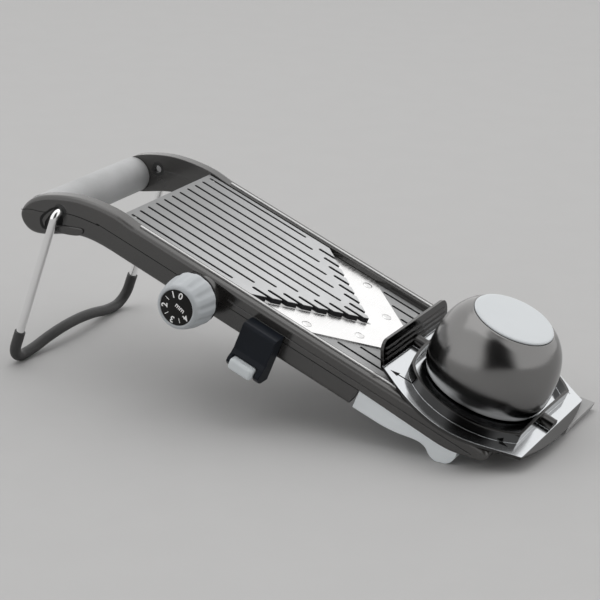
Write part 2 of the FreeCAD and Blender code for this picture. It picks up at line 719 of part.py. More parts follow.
# ---- dial knob ----
def cam_radius(angle):
    """The cam's radius where it faces the plate after the knob has turned by angle, in degrees."""
    height = -PLATE_THICKNESS - KNOB_W - CAM_CLEARANCE
    drop = (KNOB_U - HINGE_U) * math.tan(math.radians(PLATE_TILT))
    return height - drop * angle / KNOB_TURN


def cams():
    """Two spiral cams on the dial shaft that carry the feed plate."""
    samples = 13
    spiral = []
    for step in range(samples):
        angle = KNOB_TURN * step / (samples - 1)
        turned = math.radians(90 + angle)
        radius = cam_radius(angle)
        spiral.append((KNOB_U + radius * math.cos(turned), KNOB_W + radius * math.sin(turned)))
    first, last = spiral[0], spiral[-1]
    edges = [side_curve(spiral, (-1, -0.1), (1, 0.35)), side_line(last, first)]
    solids = []
    for centre in (-CAM_V, CAM_V):
        lobe = side_prism(edges, centre - CAM_WIDTH / 2, centre + CAM_WIDTH / 2)
        hub = rod(KNOB_U, KNOB_W, cam_radius(KNOB_TURN), centre - CAM_WIDTH / 2, centre + CAM_WIDTH / 2)
        bore = rod(KNOB_U, KNOB_W, SHAFT_RADIUS, centre - CAM_WIDTH, centre + CAM_WIDTH)
        solids.append(lobe.fuse(hub).removeSplitter().cut(bore))
    return Part.makeCompound(solids)


def dial_shaft():
    """The shaft from the knob, under the feed plate, to the far bearing."""
    return rod(KNOB_U, KNOB_W, SHAFT_RADIUS, -KNOB_BACK - KNOB_LENGTH / 2, RAIL_OUT - 1)


def knob():
    """The fluted knob, wider towards the rail, with a recess for the dial."""
    back = -KNOB_BACK
    front = back - KNOB_LENGTH
    profile = [(0, back), (KNOB_MAX_RADIUS - KNOB_BEVEL, back), (KNOB_MAX_RADIUS, back - 2 * KNOB_BEVEL),
               (KNOB_FRONT_RADIUS + KNOB_BEVEL / 2, front + KNOB_BEVEL),
               (KNOB_FRONT_RADIUS - KNOB_BEVEL / 2, front), (0, front)]
    corners = [Vector(KNOB_U + r, v, KNOB_W) for r, v in profile]
    face = Part.Face(Part.makePolygon(corners + corners[:1]))
    shape = face.revolve(Vector(KNOB_U, 0, KNOB_W), ACROSS, 360)
    cutters = []
    for step in range(KNOB_FLUTES):
        angle = 2 * math.pi * step / KNOB_FLUTES
        rear = radial(KNOB_MAX_RADIUS + FLUTE_LIFT, angle, back - KNOB_BEVEL)
        ahead = radial(KNOB_FRONT_RADIUS + FLUTE_LIFT, angle, front - 1)
        cutters.append(Part.makeCylinder(FLUTE_RADIUS, (ahead - rear).Length, rear, ahead - rear))
    cutters.append(rod(KNOB_U, KNOB_W, DIAL_RADIUS, front - 1, front + DIAL_THICKNESS))
    cutters.append(rod(KNOB_U, KNOB_W, SHAFT_RADIUS, -KNOB_BACK - KNOB_LENGTH / 2, back + 1))
    return shape.cut(cutters)


def radial(radius, angle, v):
    """A point round the knob's axis."""
    return Vector(KNOB_U + radius * math.cos(angle), v, KNOB_W + radius * math.sin(angle))


def dial_disc():
    """The black disc that carries the scale."""
    front = -KNOB_BACK - KNOB_LENGTH
    return rod(KNOB_U, KNOB_W, DIAL_RADIUS, front + 0.2, front + DIAL_THICKNESS)


def knob_collar():
    """The collar between the rail and the knob."""
    ring = rod(KNOB_U, KNOB_W, COLLAR_RADIUS, 0.6 - KNOB_BACK, -RAIL_OUT)
    return ring.cut(rod(KNOB_U, KNOB_W, SHAFT_RADIUS + RUNNING_CLEARANCE, -KNOB_BACK, -RAIL_IN))


# ---- julienne comb ----
def comb():
    """The V-shaped bar under the feed plate, with the arm that reaches the selector."""
    half = COMB_HALF_WIDTH
    front = KNIFE_SETBACK - COMB_MARGIN
    rear = front + COMB_BAR
    outline = ((v_edge(half, rear), -half), (v_edge(0, rear), 0), (v_edge(half, rear), half),
               (v_edge(half, front), half), (v_edge(0, front), 0), (v_edge(half, front), -half))
    bottom = COMB_TOP - COMB_THICKNESS
    bar = plate(outline, bottom, COMB_TOP)
    side = ARM_WIDTH / 2
    foot = box(v_edge(half, rear), ARM_U + side, -half - COMB_FOOT, -half + COMB_FOOT, bottom, COMB_TOP)
    arm = box(ARM_U - side, ARM_U + side, -RAIL_OUT - BLOCK_GAP, -half, bottom, COMB_TOP)
    return bar.fuse([foot, arm]).removeSplitter()


def knives():
    """The small upright knives of the comb."""
    solids = []
    for v in slot_places():
        start = v_edge(v, KNIFE_SETBACK + KNIFE_LENGTH)
        side = KNIFE_THICKNESS / 2
        body = box(start, start + KNIFE_LENGTH, v - side, v + side, COMB_TOP, KNIFE_TIP)
        slope = Part.Face(Part.makePolygon([Vector(start + KNIFE_LENGTH + 1, v - 2, KNIFE_TIP + 1),
                                            Vector(start - 1, v - 2, KNIFE_TIP + 1),
                                            Vector(start + KNIFE_LENGTH + 1, v - 2, KNIFE_TIP - 3),
                                            Vector(start + KNIFE_LENGTH + 1, v - 2, KNIFE_TIP + 1)]))
        solids.append(body.cut(slope.extrude(Vector(0, 4, 0))))
    return Part.makeCompound(solids)


def selector_block():
    """The selector outside the rail, with cheeks that reach out on both sides of the button."""
    inner = -RAIL_OUT - BLOCK_GAP
    face = inner - BLOCK_DEPTH
    bottom = BUTTON_TOP - BUTTON_HEIGHT - BLOCK_BEVEL
    profile = [(inner, BLOCK_TOP), (face + BLOCK_BEVEL, BLOCK_TOP), (face, BLOCK_TOP - BLOCK_BEVEL)]
    profile += [(face - out, BUTTON_TOP + rise) for out, rise in CHEEK_PROFILE]
    profile += [(face + 2 * BLOCK_BEVEL, bottom), (inner, bottom)]
    corners = [Vector(BLOCK_REAR, v, w) for v, w in profile]
    shape = Part.Face(Part.makePolygon(corners + corners[:1])).extrude(Vector(BLOCK_FRONT - BLOCK_REAR, 0, 0))
    middle = (BLOCK_REAR + BLOCK_FRONT) / 2
    shape = rounded(shape, BLOCK_ROUNDING, lambda edge, p: abs(p.x - middle) < 0.01 and p.y < inner - 1)
    half = BUTTON_WIDTH / 2 + BUTTON_CLEARANCE
    window = box(ARM_U - half, ARM_U + half, face - LIP_REACH - 1, face + BLOCK_SOCKET, bottom - 1,
                 BUTTON_TOP + BUTTON_CLEARANCE)
    return shape.cut(window)


def selector_button():
    """The grey button that frees the selector when it is pressed in."""
    face = -RAIL_OUT - BLOCK_GAP - BLOCK_DEPTH
    inner = face + BLOCK_SOCKET - BUTTON_TRAVEL - BUTTON_STOP
    outer = face - LIP_REACH - BUTTON_PROUD
    half = BUTTON_WIDTH / 2
    shape = box(ARM_U - half, ARM_U + half, outer, inner, BUTTON_TOP - BUTTON_HEIGHT, BUTTON_TOP)
    middle = (outer + inner) / 2

    def outer_or_long(edge, p):
        return p.y < outer + 0.01 or abs(p.y - middle) < 0.1

    return rounded(shape, BUTTON_ROUNDING, outer_or_long)


# ---- food guard ----
def floor_outline():
    """The guard's floor, seen from above: straight behind, bowed at the sides and the front."""
    rear, front, nose = FLOOR_REAR, FLOOR_FRONT, FLOOR_NOSE
    curves = []
    for side in (-1, 1):
        curves.append(smooth([Vector(rear, side * FLOOR_REAR_HALF, 0),
                              Vector((rear + FLOOR_SIDE[0]) / 2 - 4, side * (FLOOR_SIDE[1] - 7.5), 0),
                              Vector(FLOOR_SIDE[0], side * FLOOR_SIDE[1], 0),
                              Vector(front, side * FLOOR_FRONT_HALF, 0)]))
    front_half = FLOOR_FRONT_HALF
    front_arc = Part.Arc(Vector(front, -front_half, 0), Vector(nose, 0, 0), Vector(front, front_half, 0))
    back = Part.LineSegment(Vector(rear, -FLOOR_REAR_HALF, 0), Vector(rear, FLOOR_REAR_HALF, 0))
    return Part.Wire(Part.__sortEdges__(curves + [front_arc.toShape(), back.toShape()]))


def collar_outline(inset):
    """The raised collar, seen from above; inset moves it inwards by a wall."""
    front_u, front_v = COLLAR_FRONT[0] - inset, COLLAR_FRONT[1] - inset * 0.8
    rear_u, rear_v = COLLAR_REAR[0] + inset, COLLAR_REAR[1] - inset * 0.6
    edges = [Part.Arc(Vector(front_u, -front_v, 0), Vector(COLLAR_FRONT_BOW - inset, 0, 0),
                      Vector(front_u, front_v, 0)).toShape(),
             Part.Arc(Vector(rear_u, -rear_v, 0), Vector(COLLAR_REAR_BOW + inset, 0, 0),
                      Vector(rear_u, rear_v, 0)).toShape()]
    for side in (-1, 1):
        edges.append(Part.Arc(Vector(front_u, side * front_v, 0),
                              Vector(COLLAR_SIDE[0], side * (COLLAR_SIDE[1] - inset), 0),
                              Vector(rear_u, side * rear_v, 0)).toShape())
    return Part.Wire(Part.__sortEdges__(edges))


def guard_base():
    """The guard's body: floor with a round throat, a raised collar, two bosses and a rear wall."""
    floor = Part.Face(floor_outline()).extrude(Vector(0, 0, FLOOR_THICKNESS))
    floor.translate(Vector(0, 0, FLOOR_BOTTOM))
    past = FLOOR_NOSE + 1
    slope = ((FLOOR_FRONT, FLOOR_TOP), (past, FLOOR_TOP), (past, FLOOR_BOTTOM + NOSE_EDGE))
    corners = [Vector(u, -FLOOR_SIDE[1], w) for u, w in slope + slope[:1]]
    floor = floor.cut(Part.Face(Part.makePolygon(corners)).extrude(Vector(0, 2 * FLOOR_SIDE[1], 0)))
    ring = Part.Face(collar_outline(0)).extrude(Vector(0, 0, COLLAR_TOP - FLOOR_BOTTOM))
    hollow = Part.Face(collar_outline(COLLAR_WALL)).extrude(Vector(0, 0, COLLAR_TOP))
    ring.translate(Vector(0, 0, FLOOR_BOTTOM))
    hollow.translate(Vector(0, 0, FLOOR_TOP))
    collar = ring.cut(hollow)
    throat = post(GUARD_U, 0, THROAT_RADIUS + THROAT_WALL, FLOOR_BOTTOM, THROAT_TOP)
    wall = rear_wall()
    bosses = [half_round(FLOOR_REAR, COLLAR_REAR_BOW + 1), half_round(COLLAR_FRONT_BOW - 1, FLOOR_FRONT)]
    shape = floor.fuse([collar, throat, wall] + bosses)
    grooves = []
    for side in (-1, 1):
        v0 = side * (RAIL_IN + STRIP_INSET - BUTTON_CLEARANCE)
        v1 = side * (RAIL_IN + STRIP_INSET + STRIP_WIDTH + BUTTON_CLEARANCE)
        grooves.append(box(FLOOR_REAR - 9, FLOOR_NOSE + 1, min(v0, v1), max(v0, v1), FLOOR_BOTTOM - 1,
                           RAIL_TOP + STRIP_PROUD + 0.4))
    grooves.append(post(GUARD_U, 0, THROAT_RADIUS, FLOOR_BOTTOM - 1, THROAT_TOP + 1))
    return shape.cut(grooves).removeSplitter()


def rear_wall():
    """The wall at the back of the guard: it leans back, with rounded upper corners and ribs inside."""
    top = WALL_FOOT + WALL_HEIGHT
    face = FLOOR_REAR + WALL_OVERLAP
    wall = box(face - WALL_THICKNESS, face, -WALL_HALF, WALL_HALF, WALL_FOOT, top)
    wall = rounded(wall, WALL_CORNER, lambda edge, p: p.z > top - 0.01 and edge.Length < 2 * WALL_THICKNESS)
    rib_half = WALL_HALF - WALL_CORNER / 2
    ribs = [box(face, face + RIB_SIZE, -rib_half, rib_half, w, w + RIB_SIZE)
            for w in (WALL_FOOT + height for height in RIB_HEIGHTS)]
    wall = wall.fuse(ribs)
    wall.rotate(Vector(face, 0, WALL_FOOT), ACROSS, -WALL_LEAN)
    return wall


def half_round(u0, u1):
    """A half-round boss along the guard's centre line."""
    bar = Part.makeCylinder(BOSS_RADIUS, u1 - u0, Vector(u0, 0, FLOOR_TOP), Vector(1, 0, 0))
    return bar.common(box(u0, u1, -BOSS_RADIUS, BOSS_RADIUS, FLOOR_BOTTOM, FLOOR_TOP + BOSS_RADIUS + 1))


def turned(profile):
    """A solid turned about the plunger's axis from a closed (radius, w) outline of edges."""
    face = Part.Face(Part.Wire(Part.__sortEdges__(profile)))
    face.translate(Vector(GUARD_U, 0, 0))
    return face.revolve(Vector(GUARD_U, 0, 0), UP, 360)


def plunger_dome():
    """The hollow dome that the palm pushes, with a seat for the cap and a socket for the stem."""
    outer = DOME_PROFILE
    inner = [(r - DOME_WALL, w) for r, w in DOME_PROFILE[:-2]]
    seat = CAP_TOP - CAP_THICKNESS
    ceiling = seat - DOME_WALL
    seat_radius = outer[-1][0] - CAP_SEAT_INSET
    ceiling_radius = inner[-1][0] - DOME_SHOULDER
    edges = [side_curve(outer, (0.25, 1), (-1, 0.55)),
             side_line(outer[-1], (seat_radius, seat)),
             side_line((seat_radius, seat), (0, seat)),
             side_line((0, seat), (0, ceiling)),
             side_line((0, ceiling), (ceiling_radius, ceiling)),
             side_line((ceiling_radius, ceiling), inner[-1]),
             side_curve(inner, (0.25, 1), (-0.5, 1)),
             side_line(inner[0], outer[0])]
    return turned(edges)


def dome_cap():
    """The pale cap on the dome, a flat disc with a rounded rim."""
    disc = post(GUARD_U, 0, CAP_RADIUS, CAP_TOP - CAP_THICKNESS, CAP_TOP)
    return rounded(disc, CAP_THICKNESS / 2, lambda edge, p: p.z > CAP_TOP - 0.01)


def plunger_stem():
    """The stem that joins the dome to the spike plate."""
    top = CAP_TOP - CAP_THICKNESS - DOME_WALL
    stem = post(GUARD_U, 0, STEM_RADIUS, SPIKE_PLATE_W + SPIKE_PLATE_THICKNESS, top)
    return stem.cut(post(GUARD_U, 0, STEM_BORE, SPIKE_PLATE_W, top - STEM_TOP_SOLID))


def stem_screw():
    """The screw that holds the spike plate to the stem."""
    head = post(GUARD_U, 0, 2 * STEM_BORE, SPIKE_PLATE_W - STEM_SCREW_HEAD, SPIKE_PLATE_W)
    shank = post(GUARD_U, 0, STEM_BORE, SPIKE_PLATE_W, SPIKE_PLATE_W + STEM_SCREW_LENGTH)
    return head.fuse(shank).removeSplitter()


def spike_places():
    """Centres of the spikes, in rings."""
    places = []
    for count, radius in SPIKE_RINGS:
        for step in range(count):
            angle = 2 * math.pi * (step + 0.5) / count
            places.append((GUARD_U + radius * math.cos(angle), radius * math.sin(angle)))
    return places


def spike_plate():
    """The disc inside the throat that presses on the food."""
    top = SPIKE_PLATE_W + SPIKE_PLATE_THICKNESS
    disc = post(GUARD_U, 0, THROAT_RADIUS - SPIKE_PLATE_GAP, SPIKE_PLATE_W, top)
    holes = [post(u, v, SPIKE_RADIUS, SPIKE_PLATE_W - 1, top + 1) for u, v in spike_places()]
    holes.append(post(GUARD_U, 0, STEM_BORE, SPIKE_PLATE_W - 1, top + 1))
    return disc.cut(holes)


def food_spikes():
    """Steel spikes that hold the food."""
    solids = []
    for u, v in spike_places():
        tip = SPIKE_PLATE_W - SPIKE_LENGTH
        shank = post(u, v, SPIKE_RADIUS, tip + SPIKE_POINT, SPIKE_PLATE_W + SPIKE_PLATE_THICKNESS)
        point = Part.makeCone(SPIKE_RADIUS / 6, SPIKE_RADIUS, SPIKE_POINT, Vector(u, v, tip), UP)
        solids.append(shank.fuse(point).removeSplitter())
    return Part.makeCompound(solids)


# ---- assembly ----
def build():
    """Every node of the slicer, in deck axes."""
    near_rail = rail()
    screws = cover_screws()
    near_cover = side_cover().cut(screws)
    near_rail = near_rail.cut(screws)
    far_cover = far_side(near_cover)
    knob_bush = bush(KNOB_U, KNOB_W, SHAFT_RADIUS + RUNNING_CLEARANCE, 0)
    stand_bush = bush(PIVOT_U, PIVOT_W, WIRE_RADIUS + RUNNING_CLEARANCE, 0)
    foot = front_foot()
    strip = guide_strip()
    return {
        "rail_near": near_rail,
        "rail_far": far_side(near_rail),
        "side_cover_near": near_cover.cut(arm_notch()),
        "side_cover_far": far_cover,
        "guide_strip_near": strip,
        "guide_strip_far": far_side(strip),
        "handle_core": handle_core(),
        "handle_grip": handle_grip(),
        "rear_crossbar": rear_crossbar(),
        "front_crossbar": front_crossbar(),
        "parking_tab": parking_tab(),
        "runoff_plate": runoff_plate(),
        "v_blade": blade(),
        "blade_rivets": blade_rivets(),
        "front_foot_near": foot,
        "front_foot_far": far_side(foot),
        "stand_bush_near": stand_bush,
        "stand_bush_far": far_side(stand_bush),
        "dial_bush_near": knob_bush,
        "dial_bush_far": far_side(knob_bush),
        "knob_collar": knob_collar(),
        "cover_screws": screws,
        "feed_plate": feed_plate(),
        "feed_hinge_pins": hinge_pins(),
        "dial_knob": knob(),
        "dial_disc": dial_disc(),
        "dial_shaft": dial_shaft(),
        "feed_cams": cams(),
        "julienne_comb": comb(),
        "julienne_knives": knives(),
        "selector_block": selector_block(),
        "selector_button": selector_button(),
        "stand_wire": stand_wire(),
        "stand_sleeve": stand_sleeve(),
        "guard_base": guard_base(),
        "plunger_dome": plunger_dome(),
        "dome_cap": dome_cap(),
        "plunger_stem": plunger_stem(),
        "stem_screw": stem_screw(),
        "spike_plate": spike_plate(),
        "food_spikes": food_spikes(),
    }


def set_down(nodes):
    """Tilt the slicer on its stand and put the middle of its footprint at the origin."""
    tilt = deck_tilt()
    for shape in nodes.values():
        shape.rotate(CENTRE, ACROSS, tilt)
    bounds = Part.makeCompound(list(nodes.values())).optimalBoundingBox(False, False)
    shift = Vector(-bounds.Center.x, -bounds.Center.y, -bounds.ZMin)
    for shape in nodes.values():
        shape.translate(shift)
    return tilt, shift


NODES = build()
TILT, SHIFT = set_down(NODES)
os.makedirs("parts", exist_ok=True)
for name, shape in NODES.items():
    shape.exportStep("parts/" + name + ".step")
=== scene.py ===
import json
import logging
import math
from dataclasses import dataclass, field
from enum import Enum
from typing import Callable

import bmesh
import bpy
from mathutils import Matrix, Vector


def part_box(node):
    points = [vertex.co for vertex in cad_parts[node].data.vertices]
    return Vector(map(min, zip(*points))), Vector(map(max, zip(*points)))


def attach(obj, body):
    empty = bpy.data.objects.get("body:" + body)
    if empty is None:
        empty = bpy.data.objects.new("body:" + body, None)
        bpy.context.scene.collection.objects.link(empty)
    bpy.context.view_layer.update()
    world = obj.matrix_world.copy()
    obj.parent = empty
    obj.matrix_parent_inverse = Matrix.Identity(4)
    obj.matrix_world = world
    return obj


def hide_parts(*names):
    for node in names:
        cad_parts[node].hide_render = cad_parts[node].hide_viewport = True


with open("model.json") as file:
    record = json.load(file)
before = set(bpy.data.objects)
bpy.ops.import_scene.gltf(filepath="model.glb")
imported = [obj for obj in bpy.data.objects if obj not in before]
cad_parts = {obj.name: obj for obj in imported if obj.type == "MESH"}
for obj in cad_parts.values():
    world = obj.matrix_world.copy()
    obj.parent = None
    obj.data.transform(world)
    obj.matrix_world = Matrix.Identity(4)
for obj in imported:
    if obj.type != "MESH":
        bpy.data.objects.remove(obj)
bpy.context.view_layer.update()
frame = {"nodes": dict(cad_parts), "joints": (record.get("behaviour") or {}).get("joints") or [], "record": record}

MM = 0.001
LOG = logging.getLogger("slicer")
Triple = tuple[float, float, float]
Colour = Triple
Pair = tuple[float, float]
Line = tuple[Pair, ...]
Socket = bpy.types.NodeSocket


# ---------------------------------------------------------------- places
@dataclass(frozen=True)
class Deck:
    """The slicer's tilted deck, with its own axes.

    Attributes:
        origin: the point of the deck's surface at the rear ends of the grooves, in metres.
        along: unit vector from the handle to the front feet.
        across: unit vector away from the dial.
        normal: unit vector out of the deck.
    """

    origin: Vector
    along: Vector
    across: Vector
    normal: Vector

    @classmethod
    def from_frame(cls) -> "Deck":
        """Read the deck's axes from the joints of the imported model.

        Returns:
            The deck, measured from the hinge of the feed plate, which lies just inside its rear edge.
        """
        hinge_along, hinge_height = 2.0 * MM, -2.0 * MM
        joints = {joint["name"]: joint for joint in frame["joints"]}
        normal = Vector(joints["julienne_lift"]["axis"]).normalized()
        across = Vector((0, 1, 0))
        along = across.cross(normal)
        near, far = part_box("rail_near"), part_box("rail_far")
        hinge = Vector(joints["feed_tilt"]["pos_m"])
        hinge.y = (near[0].y + far[1].y) / 2
        return cls(hinge - along * hinge_along - normal * hinge_height, along, across, normal)

    def point(self, u: float, v: float, w: float) -> Vector:
        """A place on the deck.

        Args:
            u: millimetres along the deck.
            v: millimetres across it.
            w: millimetres above it.

        Returns:
            The point in metres, in the frame's axes.
        """
        return self.origin + (self.along * u + self.across * v + self.normal * w) * MM


DECK = Deck.from_frame()


def joint_place(name: str) -> Vector:
    """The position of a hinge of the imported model."""
    joint = next(joint for joint in frame["joints"] if joint["name"] == name)
    return Vector(joint["pos_m"])


# ---------------------------------------------------------------- shader groups
class Graph:
    """A node tree that is being filled."""

    def __init__(self, tree: bpy.types.NodeTree) -> None:
        """Keep the tree."""
        self.tree = tree

    def add(self, kind: str, **settings: object) -> bpy.types.Node:
        """Add a node.

        Args:
            kind: the node's type name, without the ShaderNode prefix.
            **settings: attributes to set on it.

        Returns:
            The new node.
        """
        node = self.tree.nodes.new("ShaderNode" + kind)
        for name, value in settings.items():
            setattr(node, name, value)
        return node

    def link(self, source: Socket, target: Socket) -> None:
        """Join two sockets."""
        self.tree.links.new(source, target)

    def feed(self, target: Socket, value: object) -> None:
        """Give an input its value.

        Args:
            target: the input.
            value: a socket to link to it, or the number or colour to set on it.
        """
        if isinstance(value, Socket):
            self.link(value, target)
        else:
            target.default_value = value

    def maths(self, operation: str, a: object, b: object = 0.0) -> Socket:
        """Add a Math node.

        Args:
            operation: what it does.
            a: its first number, or a socket.
            b: its second number, or a socket.

        Returns:
            The socket of its result.
        """
        node = self.add("Math", operation=operation)
        self.feed(node.inputs[0], a)
        self.feed(node.inputs[1], b)
        return node.outputs[0]

    def ramp(self, value: object, low: float, high: float, start: float = 0.0, end: float = 1.0
             ) -> Socket:
        """Take a value smoothly from one range to another.

        Args:
            value: the value's socket.
            low: the value that gives start.
            high: the value that gives end.
            start: the result at low.
            end: the result at high.

        Returns:
            The socket of the result.
        """
        node = self.add("MapRange", interpolation_type="SMOOTHSTEP")
        for socket, number in zip(node.inputs, (value, low, high, start, end)):
            self.feed(socket, number)
        return node.outputs[0]

    def noise(self, place: Socket, scale: object, detail: float = 2.0) -> Socket:
        """Add a noise texture.

        Args:
            place: the socket of the place that it is read at.
            scale: features per metre, or a socket.
            detail: how many finer layers it has.

        Returns:
            The socket of its value.
        """
        node = self.add("TexNoise")
        self.link(place, node.inputs["Vector"])
        self.feed(node.inputs["Scale"], scale)
        node.inputs["Detail"].default_value = detail
        return node.outputs[0]

    def mix(self, factor: Socket, a: object, b: object) -> Socket:
        """Mix two colours.

        Args:
            factor: 0 for a, 1 for b.
            a: a colour or its socket.
            b: another.

        Returns:
            The socket of the mixed colour.
        """
        node = self.add("Mix", data_type="RGBA")
        colours = [socket for socket in node.inputs if socket.type == "RGBA"]
        self.feed(node.inputs[0], factor)
        for socket, value in zip(colours, (a, b)):
            self.feed(socket, value if isinstance(value, Socket) else (*value, 1.0))
        return next(socket for socket in node.outputs if socket.type == "RGBA")


def new_group(name: str, inputs: dict[str, float], outputs: tuple[str, ...], kind: str = "Float"
              ) -> tuple[Graph, bpy.types.Node, bpy.types.Node]:
    """Start a shader group whose inputs are all numbers.

    Args:
        name: the group's name.
        inputs: input names with their first values.
        outputs: output names.
        kind: Float for outputs that are numbers, Vector for normals.

    Returns:
        The group's graph, its input node and its output node.
    """
    tree = bpy.data.node_groups.new(name, "ShaderNodeTree")
    for label, value in inputs.items():
        socket = tree.interface.new_socket(label, in_out="INPUT", socket_type="NodeSocketFloat")
        socket.default_value = value
    for label in outputs:
        tree.interface.new_socket(label, in_out="OUTPUT", socket_type="NodeSocket" + kind)
    graph = Graph(tree)
    return graph, tree.nodes.new("NodeGroupInput"), tree.nodes.new("NodeGroupOutput")


def vector_maths(graph: Graph, operation: str, a: Socket, b: Vector | Triple) -> bpy.types.Node:
    """Add a Vector Math node.

    Args:
        graph: where it goes.
        operation: what it does.
        a: the socket of its first vector.
        b: its second vector.

    Returns:
        The node.
    """
    node = graph.add("VectorMath", operation=operation)
    graph.link(a, node.inputs[0])
    node.inputs[1].default_value = b
    return node


def deck_place_group() -> bpy.types.NodeTree:
    """Build the group that gives a surface point's place on the deck.

    Returns:
        The group, whose outputs are in millimetres.
    """
    graph, _, out = new_group("deck place", {}, ("Along", "Across", "Height"))
    place = graph.add("TexCoord").outputs["Object"]
    offset = vector_maths(graph, "SUBTRACT", place, DECK.origin)
    for label, axis in (("Along", DECK.along), ("Across", DECK.across), ("Height", DECK.normal)):
        dot = vector_maths(graph, "DOT_PRODUCT", offset.outputs[0], axis / MM)
        graph.link(dot.outputs["Value"], out.inputs[label])
    return graph.tree


def grain_group() -> bpy.types.NodeTree:
    """Build the group for moulded or sprayed grain.

    Returns:
        The group: an even fine texture with slow drifts of tone.
    """
    detail = 3.0
    drifts_per_metre = 28.0
    tone_band, drift_band = (0.3, 0.7), (0.35, 0.65)
    graph, ins, out = new_group("moulded grain", {"Grains per metre": 900.0}, ("Tone", "Drift", "Relief"))
    place = graph.add("TexCoord").outputs["Object"]
    fine = graph.noise(place, ins.outputs["Grains per metre"], detail)
    coarse = graph.noise(place, drifts_per_metre, detail)
    graph.link(graph.ramp(fine, *tone_band), out.inputs["Tone"])
    graph.link(graph.ramp(coarse, *drift_band), out.inputs["Drift"])
    graph.link(fine, out.inputs["Relief"])
    return graph.tree


def brush_group() -> bpy.types.NodeTree:
    """Build the group for ground steel.

    Returns:
        The group: fine lines across the deck, with slow drifts of tone.
    """
    stretch = (1.0, 0.025, 1.0)
    line_band, drift_band = (0.25, 0.75), (0.3, 0.7)
    drifts_per_metre = 45.0
    graph, ins, out = new_group("ground steel", {"Lines per metre": 5200.0}, ("Lines", "Drift"))
    place = graph.add("TexCoord").outputs["Object"]
    stretched = vector_maths(graph, "MULTIPLY", place, stretch)
    lines = graph.noise(stretched.outputs[0], ins.outputs["Lines per metre"])
    graph.link(graph.ramp(lines, *line_band), out.inputs["Lines"])
    graph.link(graph.ramp(graph.noise(place, drifts_per_metre), *drift_band), out.inputs["Drift"])
    return graph.tree


def handling_group() -> bpy.types.NodeTree:
    """Build the group for the marks that polished plastic gets in use.

    Returns:
        The group: faint hairlines, haze and a slight waviness.
    """
    stretch = (1.0, 0.08, 0.5)
    hairlines_per_metre, hairline_band = 900.0, (0.66, 0.72)
    hazes_per_metre, haze_detail, haze_band = 16.0, 4.0, (0.35, 0.75)
    waves_per_metre, wave_detail = 60.0, 1.0
    graph, ins, out = new_group("handling marks", {"Hairlines": 0.5}, ("Haze", "Relief"))
    place = graph.add("TexCoord").outputs["Object"]
    warp = vector_maths(graph, "MULTIPLY", place, stretch)
    lines = graph.ramp(graph.noise(warp.outputs[0], hairlines_per_metre), *hairline_band)
    haze = graph.ramp(graph.noise(place, hazes_per_metre, haze_detail), *haze_band)
    marks = graph.maths("MULTIPLY", lines, ins.outputs["Hairlines"])
    graph.link(graph.maths("MAXIMUM", haze, marks), out.inputs["Haze"])
    graph.link(graph.noise(place, waves_per_metre, wave_detail), out.inputs["Relief"])
    return graph.tree


def relief_group() -> bpy.types.NodeTree:
    """Build the group for a surface's relief and its softened edges.

    Returns:
        The group, which gives a normal from the edges' radius, the relief's depth and its height.
    """
    graph, ins, out = new_group("soft relief", {"Edge": 0.0003, "Depth": 0.0, "Height": 0.0}, ("Normal",),
                                "Vector")
    soft = graph.add("Bevel", samples=4)
    graph.link(ins.outputs["Edge"], soft.inputs["Radius"])
    bump = graph.add("Bump")
    bump.inputs["Strength"].default_value = 1.0
    graph.link(ins.outputs["Depth"], bump.inputs["Distance"])
    graph.link(ins.outputs["Height"], bump.inputs["Height"])
    graph.link(soft.outputs[0], bump.inputs["Normal"])
    graph.link(bump.outputs[0], out.inputs["Normal"])
    return graph.tree


@dataclass(frozen=True)
class Groups:
    """The shader groups that several materials share."""

    place: bpy.types.NodeTree = field(default_factory=deck_place_group)
    grain: bpy.types.NodeTree = field(default_factory=grain_group)
    brush: bpy.types.NodeTree = field(default_factory=brush_group)
    handling: bpy.types.NodeTree = field(default_factory=handling_group)
    relief: bpy.types.NodeTree = field(default_factory=relief_group)


GROUPS = Groups()


# ---------------------------------------------------------------- finishes
class Texture(Enum):
    """The surface effect of a finish."""

    GRAIN = "moulded or sprayed grain"
    POLISH = "polished, with faint handling marks"
    GROUND = "ground steel"


class Mask(Enum):
    """Where on a node a finish changes to its second colour."""

    NONE = "nowhere"
    # painted shade: the feed plate's groove floors are painted near black
    GROOVE_SHADE = "below the deck's surface, but not underneath"
    # painted shade: the run-off plate's groove floors are painted near black
    RUNOFF_GROOVE_SHADE = "in the grooves of the run-off plate"
    MIRROR = "on the top of the guard's floor"


# Where each mask starts and ends over the deck and how soft its ends are, in millimetres.
MASK_BANDS: dict[Mask, Triple] = {
    Mask.GROOVE_SHADE: (-3.8, -0.3, 0.15),
    Mask.RUNOFF_GROOVE_SHADE: (-7.9, -4.65, 0.15),
    Mask.MIRROR: (3.14, 3.3, 0.04),
}
GROOVE_ROUGHNESS = 0.35      # added in the grooves


